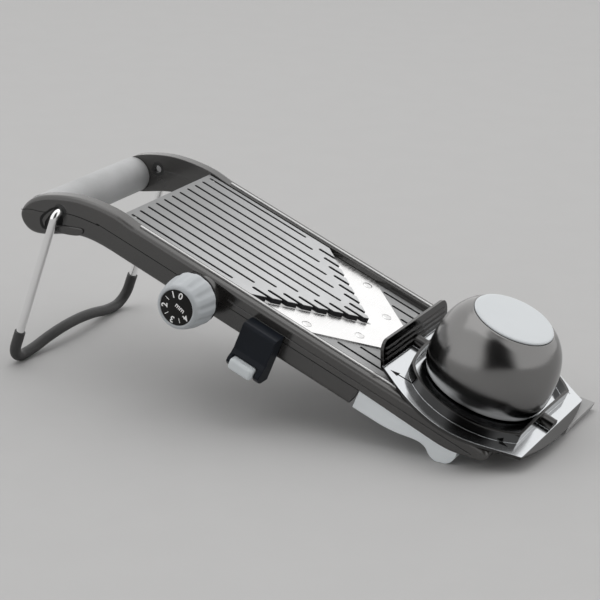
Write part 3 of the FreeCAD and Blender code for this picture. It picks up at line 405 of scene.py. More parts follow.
@dataclass(frozen=True)
class Finish:
    """One material of the slicer.

    Attributes:
        name: the material's name.
        colour: linear base colour.
        second: colour that the texture's tone drifts to.
        roughness: roughness of the plain surface.
        spread: how much the texture adds to the roughness.
        texture: the surface effect.
        density: grains or lines per metre.
        relief: depth of the texture's bumps, in millimetres.
        metallic: 1 for bare metal.
        ior: index of refraction.
        mask: where the second colour takes over; the groove masks paint shade there.
        masked: the colour there, near black painted shade in the grooves by default.
        edge: radius of softened edges, in millimetres.
        shade: painted shade, darker towards the rear: two places along the deck and how dark the colour is painted
            at the first, or None.
    """

    name: str
    colour: Colour
    second: Colour
    roughness: float
    spread: float = 0.05
    texture: Texture = Texture.GRAIN
    density: float = 900.0
    relief: float = 0.02
    metallic: float = 0.0
    ior: float = 1.5
    mask: Mask = Mask.NONE
    # near black by default: painted shade in the groove floors
    masked: Colour = (0.01, 0.01, 0.012)
    edge: float = 0.3
    shade: Triple | None = None

    def build(self) -> bpy.types.Material:
        """Make the material, unless it was made before.

        Returns:
            The material.
        """
        made = bpy.data.materials.get(self.name)
        if made:
            return made
        material = bpy.data.materials.new(self.name)
        material.use_nodes = True
        graph = Graph(material.node_tree)
        shader = material.node_tree.nodes["Principled BSDF"]
        tone, extra, height = self._texture(graph)
        colour = graph.mix(tone, self.colour, self.second)
        rough = graph.ramp(extra, 0.0, 1.0, self.roughness, self.roughness + self.spread)
        place = graph.add("Group", node_tree=GROUPS.place)
        # painted shade: the colour is darkened towards the first place along the deck
        if self.shade:
            start, end, low = self.shade
            colour = graph.mix(graph.ramp(place.outputs["Along"], start, end),
                               tuple(low * part for part in self.colour), colour)
        # the groove masks paint the groove floors near black as painted shade; the mirror mask gives the guard's
        # floor its steel colour
        if self.mask is not Mask.NONE:
            where = self._mask(graph, place)
            colour = graph.mix(where, colour, self.masked)
            if self.mask is not Mask.MIRROR:
                rough = graph.maths("ADD", rough, graph.maths("MULTIPLY", where, GROOVE_ROUGHNESS))
        relief = graph.add("Group", node_tree=GROUPS.relief)
        relief.inputs["Edge"].default_value = self.edge * MM
        relief.inputs["Depth"].default_value = self.relief * MM
        graph.link(height, relief.inputs["Height"])
        for socket, value in (("Base Color", colour), ("Roughness", rough), ("Normal", relief.outputs[0]),
                              ("Metallic", self.metallic), ("IOR", self.ior)):
            graph.feed(shader.inputs[socket], value)
        return material

    def _texture(self, graph: Graph) -> tuple[Socket, Socket, Socket]:
        """Place the shared group.

        Args:
            graph: the material's graph.

        Returns:
            Sockets for the tone, for what roughens the surface, and for its relief.
        """
        node = graph.add("Group")
        if self.texture is Texture.GRAIN:
            node.node_tree = GROUPS.grain
            node.inputs["Grains per metre"].default_value = self.density
            return node.outputs["Drift"], node.outputs["Tone"], node.outputs["Relief"]
        if self.texture is Texture.GROUND:
            node.node_tree = GROUPS.brush
            node.inputs["Lines per metre"].default_value = self.density
            return node.outputs["Drift"], node.outputs["Lines"], node.outputs["Lines"]
        node.node_tree = GROUPS.handling
        return node.outputs["Haze"], node.outputs["Haze"], node.outputs["Relief"]

    def _mask(self, graph: Graph, place: bpy.types.Node) -> Socket:
        """Find where the second colour shows.

        Args:
            graph: the material's graph.
            place: the node of the group that gives places on the deck.

        Returns:
            A socket that is 1 there.
        """
        bottom, top, blur = MASK_BANDS[self.mask]
        height = place.outputs["Height"]
        below = graph.ramp(height, top - blur, top + blur, 1.0, 0.0)
        above = graph.ramp(height, bottom - blur, bottom + blur)
        return graph.maths("MULTIPLY", below, above)


def grey(value: float, warmth: float = 0.0) -> Colour:
    """A linear grey, warmer for a warmth above 0 and cooler below."""
    return value * (1 + warmth), value, value * (1 - warmth)


FINISHES: dict[str, Finish] = {
    "gloss_black": Finish("polished black moulding", grey(0.026, 0.05), grey(0.034, 0.08), 0.18, 0.08,
                          Texture.POLISH, relief=0.05, ior=1.82, edge=0.9),
    "cover_black": Finish("black side moulding", grey(0.024, 0.05), grey(0.032, 0.05), 0.22, 0.08,
                          Texture.POLISH, relief=0.05, ior=1.8),
    "strip_metal": Finish("bright strip", grey(0.5), grey(0.6), 0.25, 0.1, Texture.GROUND, metallic=1.0,
                          edge=0.1),
    "core_black": Finish("plain black moulding", grey(0.03), grey(0.045), 0.5),
    "grip_grey": Finish("soft grey grip", grey(0.4, -0.01), grey(0.46, -0.012), 0.5, 0.12, density=1500.0,
                        relief=0.04, edge=1.2),
    "tab_grey": Finish("frosted grey tab", grey(0.3), grey(0.36), 0.35, 0.1),
    # the feed plate: its colour is painted darker towards the rear as painted shade, and its groove floors near
    # black as painted shade
    "plate_grey": Finish("ribbed plate", grey(0.6, -0.012), grey(0.66, -0.016), 0.34, 0.14, density=2300.0,
                         relief=0.05, mask=Mask.GROOVE_SHADE, shade=(-40.0, 130.0, 0.3), edge=0.15),
    # the run-off plate, with painted shade near black in its grooves
    "runoff_grey": Finish("ribbed run-off plate", grey(0.36, -0.01), grey(0.41, -0.012), 0.34, 0.14,
                          density=2300.0, relief=0.05, mask=Mask.RUNOFF_GROOVE_SHADE, edge=0.15),
    "blade_steel": Finish("ground blade steel", grey(0.84), grey(0.88), 0.24, 0.08, Texture.GROUND,
                          relief=0.0003, metallic=1.0, edge=0.1),
    "rivet_steel": Finish("polished steel", grey(0.7), grey(0.78), 0.16, 0.06, Texture.POLISH,
                          metallic=1.0),
    "foot_pale": Finish("pale soft foot", (0.78, 0.82, 0.84), (0.83, 0.87, 0.89), 0.5, 0.1, relief=0.03,
                        edge=0.8),
    "bush_black": Finish("bearing black", grey(0.02), grey(0.03), 0.42),
    "screw_steel": Finish("plain steel", grey(0.55), grey(0.65), 0.28, 0.12, Texture.GROUND, metallic=1.0),
    "knob_grey": Finish("satin knob grey", (0.45, 0.475, 0.495), (0.48, 0.505, 0.525), 0.4, 0.1,
                        density=1400.0, relief=0.015),
    "dial_black": Finish("dial black", grey(0.006, 0.05), grey(0.012, 0.05), 0.5, 0.15, density=1400.0,
                         ior=1.3),
    "comb_black": Finish("comb black", grey(0.02), grey(0.03), 0.42),
    "selector_black": Finish("selector black", (0.004, 0.006, 0.010), (0.006, 0.009, 0.015), 0.3, 0.1,
                             Texture.POLISH, ior=1.3, edge=0.8),
    "button_grey": Finish("satin button grey", (0.66, 0.7, 0.72), (0.7, 0.74, 0.76), 0.32, 0.1, edge=1.0),
    "wire_chrome": Finish("plated wire", grey(0.9), grey(0.95), 0.1, 0.08, Texture.POLISH, metallic=1.0,
                          relief=0.02),
    "sleeve_rubber": Finish("black rubber sleeve", grey(0.03), grey(0.045), 0.45, 0.15, density=1300.0,
                            relief=0.05),
    "guard_black": Finish("polished guard black", grey(0.06, 0.01), grey(0.072, 0.01), 0.1, 0.05,
                          Texture.POLISH, relief=0.01, metallic=1.0, edge=0.5, masked=grey(0.66, -0.03),
                          mask=Mask.MIRROR),
    "dome_black": Finish("polished dome black", grey(0.21, 0.01), grey(0.235, 0.01), 0.2, 0.04,
                         Texture.POLISH, relief=0.01, metallic=1.0, edge=0.5),
    "cap_pale": Finish("pale cap", (0.6, 0.63, 0.65), (0.62, 0.65, 0.67), 0.3, 0.06, relief=0.004),
}
PRINT_WHITE = Finish("printed white", grey(0.9), grey(0.95), 0.45, edge=0.05)
PRINT_BLACK = Finish("printed black", grey(0.004), grey(0.006), 0.5, edge=0.05, ior=1.2)
# near black: painted shade for the recess round the stand's pivot, and the colour of the dark seams and of the
# black disc behind the knob
RECESS_SHADE_AND_SEAM_BLACK = Finish("painted recess shade and seam black", grey(0.006), grey(0.01), 0.5, edge=0.1, ior=1.3)
PALE_FLOOR = Finish("pale floor", grey(0.47, 0.003), grey(0.475, 0.003), 0.9, 0.05, relief=0.0)


# ---------------------------------------------------------------- mesh helpers
def add_piece(name: str, body: str, slot: str, build: Callable[[bmesh.types.BMesh], None],
              finish: Finish | None = None, smooth_angle: float = 40.0) -> bpy.types.Object:
    """Make a piece from mesh code, dress it and let it ride.

    Args:
        name: the piece's name.
        body: the body it moves with.
        slot: the record's material slot.
        build: fills a bmesh, in metres, in the frame's axes.
        finish: a finish other than the slot's own.
        smooth_angle: faces that meet at less than this many degrees are shaded as one.

    Returns:
        The new object.
    """
    mesh = bpy.data.meshes.new(name)
    work = bmesh.new()
    build(work)
    bmesh.ops.recalc_face_normals(work, faces=work.faces)
    work.to_mesh(mesh)
    work.free()
    piece = bpy.data.objects.new(name, mesh)
    bpy.context.scene.collection.objects.link(piece)
    shade(piece, smooth_angle)
    mesh.materials.append((finish or FINISHES[slot]).build())
    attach(piece, body)
    LOG.info("piece %s rides on %s", name, body)
    return piece


def shade(piece: bpy.types.Object, angle: float) -> None:
    """Smooth a piece's shading.

    Args:
        piece: the piece.
        angle: edges that turn more than this many degrees stay sharp.
    """
    mesh = piece.data
    mesh.polygons.foreach_set("use_smooth", [True] * len(mesh.polygons))
    mesh.set_sharp_from_angle(angle=math.radians(angle))


def skin(work: bmesh.types.BMesh, rings: list[list[bmesh.types.BMVert]]) -> None:
    """Cover a row of rings with faces and close both ends.

    Args:
        work: the bmesh that holds the rings.
        rings: rings of equally many vertices, in order.
    """
    for before, after in zip(rings, rings[1:]):
        for i, corner in enumerate(before):
            j = (i + 1) % len(before)
            work.faces.new((corner, before[j], after[j], after[i]))
    work.faces.new(rings[0])
    work.faces.new(rings[-1])


def lathe(work: bmesh.types.BMesh, centre: Vector, axis: Vector, profile: list[Pair],
          steps: int = 96) -> None:
    """Turn a profile about an axis.

    Args:
        work: the bmesh to fill.
        centre: a point of the axis, in metres.
        axis: the axis's direction.
        profile: (radius, distance along the axis) points in millimetres.
        steps: how many facets go round.
    """
    side = axis.orthogonal().normalized()
    other = axis.cross(side)
    rings = []
    for radius, reach in profile:
        ring = []
        for step in range(steps):
            angle = 2 * math.pi * step / steps
            out = side * math.cos(angle) + other * math.sin(angle)
            ring.append(work.verts.new(centre + (out * radius + axis * reach) * MM))
        rings.append(ring)
    skin(work, rings)


def dress(piece: bpy.types.Object, finish: Finish) -> None:
    """Give a whole piece one finish."""
    piece.data.materials.clear()
    piece.data.materials.append(finish.build())


def node_slot(node: str) -> str:
    """The record's material slot of a CAD node."""
    return next(part["material_slot"] for part in frame["record"]["subparts"] if part["node"] == node)


def node_finish(node: str) -> Finish:
    """The finish of a CAD node."""
    return FINISHES["runoff_grey" if node == "runoff_plate" else node_slot(node)]


def round_edges(piece: bpy.types.Object, radius: float) -> None:
    """Round a piece's sharp edges.

    Args:
        piece: the piece.
        radius: the edges' radius, in millimetres.
    """
    segments = 3
    sharp = 50
    bevel = piece.modifiers.new("rounded edge", "BEVEL")
    bevel.width = radius * MM
    bevel.segments = segments
    bevel.angle_limit = math.radians(sharp)


def smooth_line(points: list[Pair], steps: int = 6) -> list[Pair]:
    """A smooth line through points in a plane.

    Args:
        points: at least two points.
        steps: how many pieces each gap is cut into.

    Returns:
        The points of a Catmull-Rom curve.
    """
    ends = [tuple(2 * a - b for a, b in zip(points[0], points[1])),
            tuple(2 * a - b for a, b in zip(points[-1], points[-2]))]
    knots = [ends[0], *points, ends[1]]
    line = []
    for i in range(len(points) - 1):
        p0, p1, p2, p3 = knots[i:i + 4]
        for step in range(steps):
            t = step / steps
            line.append(tuple(0.5 * (2 * b + (c - a) * t + (2 * a - 5 * b + 4 * c - d) * t * t
                                     + (3 * b - a - 3 * c + d) * t ** 3)
                              for a, b, c, d in zip(p0, p1, p2, p3)))
    line.append(tuple(points[-1]))
    return line


def slab(work: bmesh.types.BMesh, outline: list[Vector], rise: Vector) -> None:
    """Raise a flat outline into a slab.

    Args:
        work: the bmesh to fill.
        outline: the corners of one face, in metres.
        rise: from that face to the other one.
    """
    near = [work.verts.new(corner) for corner in outline]
    far = [work.verts.new(corner + rise) for corner in outline]
    work.faces.new(near)
    work.faces.new(far[::-1])
    for i, corner in enumerate(near):
        j = (i + 1) % len(near)
        work.faces.new((corner, near[j], far[j], far[i]))


class Assembly:
    """A sub-assembly of the slicer: carried CAD nodes and the pieces built on them."""

    nodes: tuple[str, ...] = ()

    def build(self) -> None:
        """Dress the carried nodes, then make this sub-assembly's own pieces."""
        for node in self.nodes:
            dress(frame["nodes"][node], node_finish(node))
            LOG.info("node %s dressed", node)
        self.make()

    def make(self) -> None:
        """Make the pieces that the CAD model doesn't have."""


def outer_face(rail: str, side: int) -> float:
    """Find a rail's outer face.

    Args:
        rail: the rail's node.
        side: -1 at the dial's side, 1 at the other.

    Returns:
        Where the face is across the deck, in millimetres.
    """
    low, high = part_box(rail)
    return ((low.y if side < 0 else high.y) - DECK.origin.y) / MM


@dataclass(frozen=True)
class Relief:
    """A raised or printed shape on a flat face of the slicer.

    Attributes:
        name: the piece's name, before its side.
        outline: its corners, (along, height) on the deck in millimetres.
        rise: how far it stands out.
        finish: what it is made of.
        rounding: radius of its outer edge.
        sink: how far it goes into the face.
    """

    name: str
    outline: Line
    rise: float
    finish: Finish
    rounding: float = 0.0
    sink: float = 0.2

    def build(self, body: str, slot: str) -> None:
        """Make the shape on the outer face of both rails.

        Args:
            body: the body it moves with.
            slot: its material slot.
        """
        line = smooth_line([*self.outline, self.outline[0]])[:-1]
        for side, rail in ((-1, "rail_near"), (1, "rail_far")):
            face = outer_face(rail, side)
            corners = [DECK.point(u, face - self.sink * side, w) for u, w in line]
            rise = DECK.across * side * (self.rise + self.sink) * MM
            piece = add_piece(f"{self.name}_{rail[5:]}", body, slot,
                              lambda work, corners=corners, rise=rise: slab(work, corners, rise),
                              self.finish)
            if self.rounding:
                round_edges(piece, self.rounding)


@dataclass(frozen=True)
class Sides(Assembly):
    """The rails, their covers, the bright strips and the screws underneath.

    Attributes:
        seam: the parting line between rail and cover, (along, height) in millimetres.
        seam_width: its width.
        seam_depth: how far its strip goes into the rail.
        seam_rise: how far it stands out.
        hollow: a thin near-black sheet on the rail, painted shade for the recess round the stand's pivot.
        hollow_lip: the edge that catches the light inside the recess.
        lug: the raised catch beside it.
    """

    nodes = ("rail_near", "rail_far", "side_cover_near", "side_cover_far", "guide_strip_near",
             "guide_strip_far", "cover_screws", "rear_crossbar", "front_crossbar", "parking_tab",
             "front_foot_near", "front_foot_far", "dial_bush_near", "dial_bush_far")
    seam: Line = ((-71.8, -33.6), (-65.0, -29.6), (-56.0, -26.4), (-45.0, -20.5), (-34.0, -15.9),
                  (-14.5, -12.2), (4.0, -11.4), (193.0, -11.4))
    seam_width: float = 0.5
    seam_depth: float = 0.1
    seam_rise: float = 0.04
    # painted shade: a thin near-black sheet stands in for the shade inside the recess round the pivot
    hollow: Relief = Relief("pivot_painted_shade", (
        (-46.3, -16.4), (-50.5, -20.0), (-54.0, -25.2), (-56.3, -29.8), (-55.6, -33.7), (-52.1, -36.9),
        (-45.0, -34.5), (-40.2, -29.0), (-39.3, -24.9), (-40.5, -21.5), (-43.0, -17.6)), 0.05, RECESS_SHADE_AND_SEAM_BLACK)
    hollow_lip: Relief = Relief("pivot_lip", (
        (-47.6, -18.6), (-51.8, -24.6), (-54.0, -29.9), (-53.4, -32.6), (-51.0, -34.6), (-51.6, -31.0),
        (-50.0, -25.6)), 0.5, FINISHES["cover_black"], 0.3)
    lug: Relief = Relief("pivot_lug", (
        (-43.4, -33.8), (-36.0, -31.6), (-27.5, -28.0), (-23.4, -25.0), (-22.6, -22.2), (-24.4, -20.8),
        (-31.0, -23.4), (-38.6, -26.7), (-43.2, -29.9)), 1.2, FINISHES["cover_black"], 0.7)

    def make(self) -> None:
        """Make the seams, the painted shade of the recess and the catch on both sides."""
        for relief in (self.hollow, self.hollow_lip, self.lug):
            relief.build("frame", "cover_black")
        for side, rail in ((-1, "rail_near"), (1, "rail_far")):
            face = outer_face(rail, side)
            add_piece(f"seam_{rail[5:]}", "frame", "cover_black",
                      lambda work, face=face, side=side: self._seam(work, face, side), RECESS_SHADE_AND_SEAM_BLACK)

    def _seam(self, work: bmesh.types.BMesh, face: float, side: int) -> None:
        """Draw one seam.

        Args:
            work: the bmesh to fill.
            face: where the rail's outer face is, across the deck, in millimetres.
            side: -1 at the dial's side, 1 at the other.
        """
        half = self.seam_width / 2
        section = ((-self.seam_depth, -half), (self.seam_rise, -half), (self.seam_rise, half),
                   (-self.seam_depth, half))
        skin(work, [[work.verts.new(DECK.point(u, face + side * out, w + rise)) for out, rise in section]
                    for u, w in smooth_line(list(self.seam), steps=5)])


@dataclass(frozen=True)
class Handle(Assembly):
    """The handle's grip and its core."""

    nodes = ("handle_core", "handle_grip")


@dataclass(frozen=True)
class DeckPlates(Assembly):
    """The feed plate, the run-off plate and the blade."""

    nodes = ("feed_plate", "runoff_plate", "feed_hinge_pins", "v_blade", "blade_rivets")


@dataclass(frozen=True)
class Stand(Assembly):
    """The wire stand and its rubber sleeve."""

    nodes = ("stand_wire", "stand_sleeve", "stand_bush_near", "stand_bush_far")


@dataclass(frozen=True)
class Dial(Assembly):
    """The thickness knob and its printed dial.

    Attributes:
        profile: (radius, distance from the back) of the knob's side and rim, in millimetres.
        facets: how many facets go round the knob.
        flutes: how many shallow flutes go round.
        flute_depth: their depth.
        flute_width: half their width, in degrees.
        flute_radius: the knob has no flutes inside this radius.
        flute_fade: heights over which they come up at the back and die out at the rim.
        flute_end: how far below the rim they end.
        step: angle between the marks of the dial, in degrees.
        marks: what is printed at each step, empty for a tick.
        mark_radius: distance of the numerals' middles from the axis.
        mark_size: their type size.
        unit_radius: distance of the unit's middle from the axis.
        unit_size: its type size.
        unit_turn: its place round the dial, in degrees.
        unit_lean: how far it is turned there from standing radially, in degrees.
        backing: (radius, distance out of the knob's back) of the black disc behind the knob.
        tick: half the width and half the length of a tick.
        ink: half the thickness of the print.
        boldness: how much the letters are fattened, as a share of their size.
    """

    nodes = ("dial_disc", "dial_shaft", "feed_cams", "knob_collar")
    profile: Line = (
        (15.6, 0.0), (16.9, 0.35), (17.5, 1.4), (17.6, 3.4), (17.3, 7.0), (16.7, 11.0), (15.8, 15.0),
        (15.1, 17.8), (14.6, 19.2), (13.8, 20.1), (12.9, 20.55), (12.2, 20.5), (11.85, 20.2), (11.8, 19.65))
    facets: int = 360
    flutes: int = 12
    flute_depth: float = 0.75
    flute_width: float = 11.0
    flute_radius: float = 12.5
    flute_fade: Pair = (1.5, 4.0)
    flute_end: float = 1.0
    step: float = 36.0
    marks: tuple[str, ...] = ("0", "1", "", "2", "", "3", "", "4")
    mark_radius: float = 8.5
    mark_size: float = 6.2
    unit_radius: float = 2.7
    unit_size: float = 4.8
    unit_turn: float = -64.0
    unit_lean: float = 50.0
    backing: Line = ((16.3, -1.4), (17.3, -1.0), (17.3, 0.1), (4.0, 0.1))
    tick: Pair = (0.22, 1.6)
    ink: float = 0.04
    boldness: float = 0.02

    def make(self) -> None:
        """Make the fluted knob and the print on its dial."""
        knob = add_piece("knob_fluted", "knob", "knob_grey", self._knob, smooth_angle=60)
        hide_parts("dial_knob")
        axis = joint_place("dial_turn")
        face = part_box("dial_disc")[0].y
        for step, mark in enumerate(self.marks):
            angle = math.radians(self.step * step)
            if mark:
                self._print(f"dial_{mark}", mark, self.mark_size, angle, self.mark_radius, axis, face)
            else:
                self._tick(f"dial_tick_{step}", angle, axis, face)
        self._print("dial_unit", "mm", self.unit_size, math.radians(self.unit_turn), self.unit_radius, axis,
                    face, math.radians(self.unit_lean))
        back = Vector((axis.x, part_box("dial_knob")[1].y, axis.z))
        add_piece("knob_backing", "knob", "bush_black",
                  lambda work: lathe(work, back, -DECK.across, list(self.backing)), RECESS_SHADE_AND_SEAM_BLACK)

    def _knob(self, work: bmesh.types.BMesh) -> None:
        """Turn the knob and press its flutes in.

        Args:
            work: the bmesh to fill.
        """
        axis = joint_place("dial_turn")
        centre = Vector((axis.x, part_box("dial_knob")[1].y, axis.z))
        end = max(distance for _, distance in self.profile) - self.flute_end
        grow, fade = self.flute_fade
        pitch = 360 / self.flutes
        rings = []
        for radius, distance in smooth_line(list(self.profile), steps=4):
            grip = min(1.0, max(0.0, (end - distance) / fade)) * min(1.0, distance / grow)
            grip *= radius > self.flute_radius
            ring = []
            for facet in range(self.facets):
                angle = 2 * math.pi * facet / self.facets
                off = abs((math.degrees(angle) + pitch / 2) % pitch - pitch / 2) / self.flute_width
                dip = self.flute_depth * grip * (0.5 + 0.5 * math.cos(math.pi * min(1.0, off)))
                out = Vector((math.sin(angle), 0, math.cos(angle))) * (radius - dip)
                ring.append(work.verts.new(centre + (out - Vector((0, distance, 0))) * MM))
            rings.append(ring)
        skin(work, rings)

    def _place(self, angle: float, radius: float, axis: Vector, face: float) -> Matrix:
        """A transform for print that stands radially on the dial.

        Args:
            angle: radians anticlockwise from the deck's normal, seen from outside.
            radius: millimetres from the dial's centre.
            axis: a point of the dial's axis.
            face: where the dial's face is, across the deck.

        Returns:
            A matrix whose x is the print's right and y its top.
        """
        up = DECK.normal * math.cos(angle) - DECK.along * math.sin(angle)
        right = DECK.along * math.cos(angle) + DECK.normal * math.sin(angle)
        turn = Matrix((right, up, -DECK.across)).transposed().to_4x4()
        centre = Vector((axis.x, face, axis.z)) + up * radius * MM
        return Matrix.Translation(centre) @ turn

    def _print(self, name: str, text: str, size: float, angle: float, radius: float, axis: Vector,
               face: float, lean: float = 0.0) -> None:
        """Print one word on the dial.

        Args:
            name: the piece's name.
            text: what to print.
            size: type size in millimetres.
            angle: radians from the dial's zero.
            radius: millimetres from its centre.
            axis: a point of its axis.
            face: where its face is.
            lean: radians that the word is turned about its own middle.
        """
        curve = bpy.data.curves.new(name, "FONT")
        curve.body = text
        curve.size = size * MM
        curve.align_x = "CENTER"
        curve.align_y = "CENTER"
        curve.extrude = self.ink * MM
        curve.offset = self.boldness * size * MM
        letter = bpy.data.objects.new(name + "_type", curve)
        mesh = bpy.data.meshes.new_from_object(letter)
        mesh.transform(Matrix.Rotation(lean, 4, "Z"))
        mesh.transform(self._place(angle, radius, axis, face))
        bpy.data.objects.remove(letter)
        piece = bpy.data.objects.new(name, mesh)
        bpy.context.scene.collection.objects.link(piece)
        dress(piece, PRINT_WHITE)
        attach(piece, "knob")

    def _tick(self, name: str, angle: float, axis: Vector, face: float) -> None:
        """Print the short line of a half step.

        Args:
            name: the piece's name.
            angle: radians from the dial's zero.
            axis: a point of the dial's axis.
            face: where its face is.
        """
        place = self._place(angle, self.mark_radius, axis, face)
        x, y = self.tick
        corners = [place @ (Vector((*corner, -self.ink)) * MM)
                   for corner in ((-x, -y), (x, -y), (x, y), (-x, y))]
        rise = -DECK.across * 2 * self.ink * MM
        add_piece(name, "knob", "cap_pale", lambda work: slab(work, corners, rise), PRINT_WHITE)


@dataclass(frozen=True)
class Selector(Assembly):
    """The julienne comb, its selector and the button."""

    nodes = ("julienne_comb", "julienne_knives", "selector_block", "selector_button")


@dataclass(frozen=True)
class Guard(Assembly):
    """The food guard's base, with the printed arrows on its floor.

    Attributes:
        arrows: (tip along, tip across, tail along, tail across) on the deck, in millimetres.
        head: length and half width of an arrow's head.
        line: half width of its shaft.
        floor: height of the floor's top over the deck.
        sink: how far the print goes into the floor.
        ink: the print's thickness, with that.
    """

    nodes = ("guard_base",)
    arrows: tuple[tuple[float, ...], ...] = (
        (201.5, -47.0, 218.0, -46.5), (290.2, -50.5, 275.8, -49.5), (292.0, 51.0, 279.0, 50.5))
    head: Pair = (6.0, 2.4)
    line: float = 0.6
    floor: float = 3.2
    sink: float = 0.1
    ink: float = 0.14

    def make(self) -> None:
        """Print the arrows."""
        height = self.floor - self.sink
        for i, (tip_u, tip_v, tail_u, tail_v) in enumerate(self.arrows):
            tip = Vector((tip_u, tip_v, height))
            way = Vector((tail_u, tail_v, height)) - tip
            length = way.length
            way.normalize()
            side = Vector((-way.y, way.x, 0))
            reach, half = self.head
            shape = ((0, 0), (reach, half), (reach, self.line), (length, self.line), (length, -self.line),
                     (reach, -self.line), (reach, -half))
            corners = [DECK.point(*(tip + way * a + side * b)) for a, b in shape]
            add_piece(f"guard_arrow_{i}", "guard", "guard_black",
                      lambda work, corners=corners: slab(work, corners, DECK.normal * self.ink * MM),
                      PRINT_BLACK)


@dataclass(frozen=True)
class Plunger(Assembly):
    """The plunger: the hollow dome, its cap, the stem and the plate with the spikes.

    Attributes:
        outside: (radius, height over the deck) of the dome's outer surface, in millimetres.
        wall: the dome's thickness.
        seat: height of the cap's seat.
        hollow_end: how far below the seat the hollow's side ends.
        hollow_step: from there in to the hollow's flat ceiling.
        hub: radius of the small closed disc on the axis.
        rim: how far the lower rim is drawn in.
        shoulder: (inwards, upwards) from the outline's top to the start of the seat's edge.
        seat_edge: from the outline's top in to the seat.
        cap: the cap's profile, (radius, height over the deck).
        dome_facets: how many facets go round the dome.
        cap_facets: how many go round the cap.
    """

    nodes = ("plunger_stem", "stem_screw", "spike_plate", "food_spikes")
    outside: Line = (
        (39.4, 4.6), (41.4, 10.0), (42.1, 19.0), (41.2, 31.0), (37.9, 42.0), (32.8, 49.6), (27.6, 54.0))
    wall: float = 2.4
    seat: float = 53.8
    hollow_end: float = 4.0
    hollow_step: float = 3.0
    hub: float = 1.0
    rim: float = 0.4
    shoulder: Pair = (0.35, 0.05)
    seat_edge: float = 0.9
    cap: Line = ((24.0, 53.8), (26.3, 53.8), (26.7, 54.2), (26.7, 54.7), (26.4, 55.1), (25.8, 55.35),
                 (24.6, 55.4), (12.0, 55.4))
    dome_facets: int = 160
    cap_facets: int = 128

    def make(self) -> None:
        """Turn the dome and its cap."""
        dome = add_piece("dome_turned", "plunger", "dome_black", self._dome, smooth_angle=50)
        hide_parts("plunger_dome")
        cap = add_piece("cap_turned", "plunger", "cap_pale", self._cap, smooth_angle=50)
        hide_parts("dome_cap")

    def _axis(self) -> Vector:
        """Find the plunger's axis.

        Returns:
            The point where it meets the deck.
        """
        low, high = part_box("plunger_stem")
        middle = (low + high) / 2
        return middle - DECK.normal * (middle - DECK.origin).dot(DECK.normal)

    def _dome(self, work: bmesh.types.BMesh) -> None:
        """Turn the dome, hollow from below.

        Args:
            work: the bmesh to fill.
        """
        outer = smooth_line(list(self.outside), steps=8)
        inner = [(radius - self.wall, height) for radius, height in outer
                 if height < self.seat - self.hollow_end]
        (low_radius, low), (top_radius, top) = self.outside[0], self.outside[-1]
        inwards, upwards = self.shoulder
        ceiling = self.seat - self.wall
        profile = [(self.hub, ceiling), (inner[-1][0] - self.hollow_step, ceiling), *inner[::-1],
                   (low_radius - self.rim, low), *outer, (top_radius - inwards, top + upwards),
                   (top_radius - self.seat_edge, self.seat), (self.hub, self.seat)]
        lathe(work, self._axis(), DECK.normal, profile, self.dome_facets)

    def _cap(self, work: bmesh.types.BMesh) -> None:
        """Turn the cap with its rounded rim."""
        lathe(work, self._axis(), DECK.normal, list(self.cap), self.cap_facets)


# ---------------------------------------------------------------- studio
@dataclass(frozen=True)
class SoftLight:
    """A soft rectangular light that faces the slicer.

    Attributes:
        name: its name.
        place: where it stands, in metres.
        size: width and height in metres.
        power: watts.
    """

    name: str
    place: Triple
    size: Pair
    power: float

    def build(self, target: Vector) -> None:
        """Hang the light.

        Args:
            target: the point that it faces.
        """
        light = bpy.data.lights.new(self.name, "AREA")
        light.shape = "RECTANGLE"
        light.size, light.size_y = self.size
        light.energy = self.power
        lamp = bpy.data.objects.new(self.name, light)
        lamp.location = self.place
        lamp.rotation_euler = (target - lamp.location).to_track_quat("-Z", "Y").to_euler()
        bpy.context.scene.collection.objects.link(lamp)


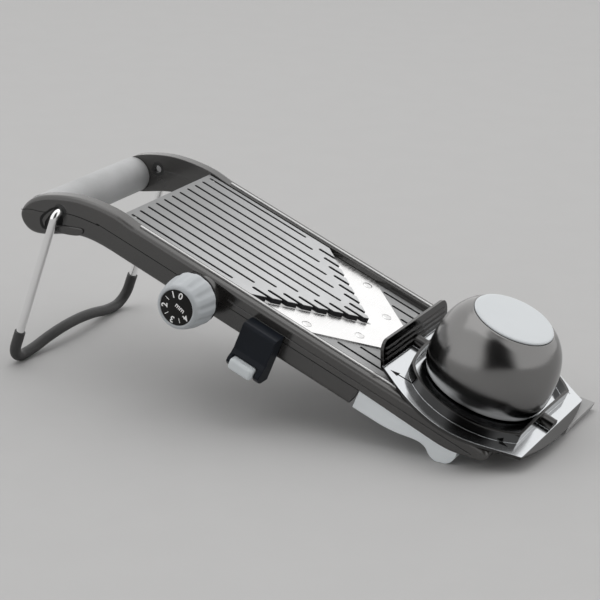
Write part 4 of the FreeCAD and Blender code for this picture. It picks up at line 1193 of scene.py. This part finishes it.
@dataclass(frozen=True)
class Studio:
    """The pale floor, the soft lights, the surroundings and the camera.

    Attributes:
        eye: the camera's place, in metres.
        right: the camera's right.
        down: the camera's down.
        lens: focal length in millimetres.
        sensor: width of the sensor, in millimetres.
        clip: nearest and farthest distance seen, in metres.
        aim: the lights face this far along the deck, in millimetres.
        floor_radius: radius of the floor, in metres.
        floor_drop: how far it lies below the slicer's feet.
        floor_facets: how many facets its edge has.
        fill: brightness of the surroundings.
        dusk: brightness of their dark end, behind the camera.
        dark_zone: cosines between which the fill turns to dusk.
        glow: extra brightness of the lit wall behind the slicer.
        glow_from: direction of that wall's middle.
        glow_zone: cosines between which the glow comes up.
        tint: colour of the surroundings.
        lights: the soft lights.
    """

    eye: Triple = (0.5615, -1.0363, 0.4909)
    right: Triple = (0.8786, 0.4772, 0.0186)
    down: Triple = (0.1776, -0.2904, -0.9403)
    lens: float = 114.38
    sensor: float = 36.0
    clip: Pair = (0.05, 50.0)
    aim: float = 100.0
    floor_radius: float = 6.0
    floor_drop: float = 0.0002
    floor_facets: int = 96
    fill: float = 1.05
    dusk: float = 0.03
    dark_zone: Pair = (0.78, 0.965)
    glow: float = 0.12
    glow_from: Triple = (-0.09, 0.83, 0.55)
    glow_zone: Pair = (0.7, 0.97)
    tint: Colour = (1.0, 0.995, 0.99)
    lights: tuple[SoftLight, ...] = (SoftLight("overhead", (-0.2, 0.1, 1.9), (2.0, 2.0), 7.0),)

    def build(self) -> None:
        """Set up everything round the slicer."""
        target = DECK.point(self.aim, 0, 0)
        for light in self.lights:
            light.build(target)
        self._floor()
        self._surroundings()
        self._camera()
        bpy.context.scene.view_settings.view_transform = "Standard"
        LOG.info("studio ready")

    def _floor(self) -> None:
        """Lay the pale floor."""
        mesh = bpy.data.meshes.new("floor")
        work = bmesh.new()
        bmesh.ops.create_circle(work, cap_ends=True, segments=self.floor_facets, radius=self.floor_radius)
        work.to_mesh(mesh)
        work.free()
        floor = bpy.data.objects.new("floor", mesh)
        floor.location.z = -self.floor_drop
        bpy.context.scene.collection.objects.link(floor)
        dress(floor, PALE_FLOOR)

    def _surroundings(self) -> None:
        """Light the surroundings evenly, with a dark end behind the camera."""
        world = bpy.data.worlds.new("studio")
        bpy.context.scene.world = world
        world.use_nodes = True
        graph = Graph(world.node_tree)
        background = world.node_tree.nodes["Background"]
        place = graph.add("TexCoord").outputs["Generated"]
        flat = vector_maths(graph, "MULTIPLY", place, (1.0, 1.0, 0.0))
        level = graph.add("VectorMath", operation="NORMALIZE")
        graph.link(flat.outputs[0], level.inputs[0])
        toward = Vector((self.eye[0], self.eye[1], 0.0)).normalized()
        facing = vector_maths(graph, "DOT_PRODUCT", level.outputs[0], toward).outputs["Value"]
        bright = graph.ramp(facing, *self.dark_zone, self.fill, self.dusk)
        wall = Vector(self.glow_from).normalized()
        lit = vector_maths(graph, "DOT_PRODUCT", place, wall).outputs["Value"]
        glow = graph.ramp(lit, *self.glow_zone, 0.0, self.glow)
        graph.link(graph.maths("ADD", bright, glow), background.inputs["Strength"])
        background.inputs["Color"].default_value = (*self.tint, 1.0)

    def _camera(self) -> None:
        """Put the camera where the slicer is seen from."""
        data = bpy.data.cameras.new("camera")
        data.lens = self.lens
        data.sensor_width = self.sensor
        data.clip_start, data.clip_end = self.clip
        camera = bpy.data.objects.new("camera", data)
        right = Vector(self.right).normalized()
        up = -Vector(self.down)
        back = right.cross(up).normalized()
        up = back.cross(right)
        turn = Matrix((right, up, back)).transposed().to_4x4()
        camera.matrix_world = Matrix.Translation(self.eye) @ turn
        bpy.context.scene.collection.objects.link(camera)
        bpy.context.scene.camera = camera


def main() -> None:
    """Build the slicer piece by piece, then its studio."""
    logging.basicConfig(level=logging.INFO, format="%(name)s: %(message)s")
    for assembly in (Sides(), Handle(), DeckPlates(), Stand(), Dial(), Selector(), Guard(), Plunger()):
        assembly.build()
        LOG.info("%s done", type(assembly).__name__)
    Studio().build()


if __name__ == "__main__":
    main()
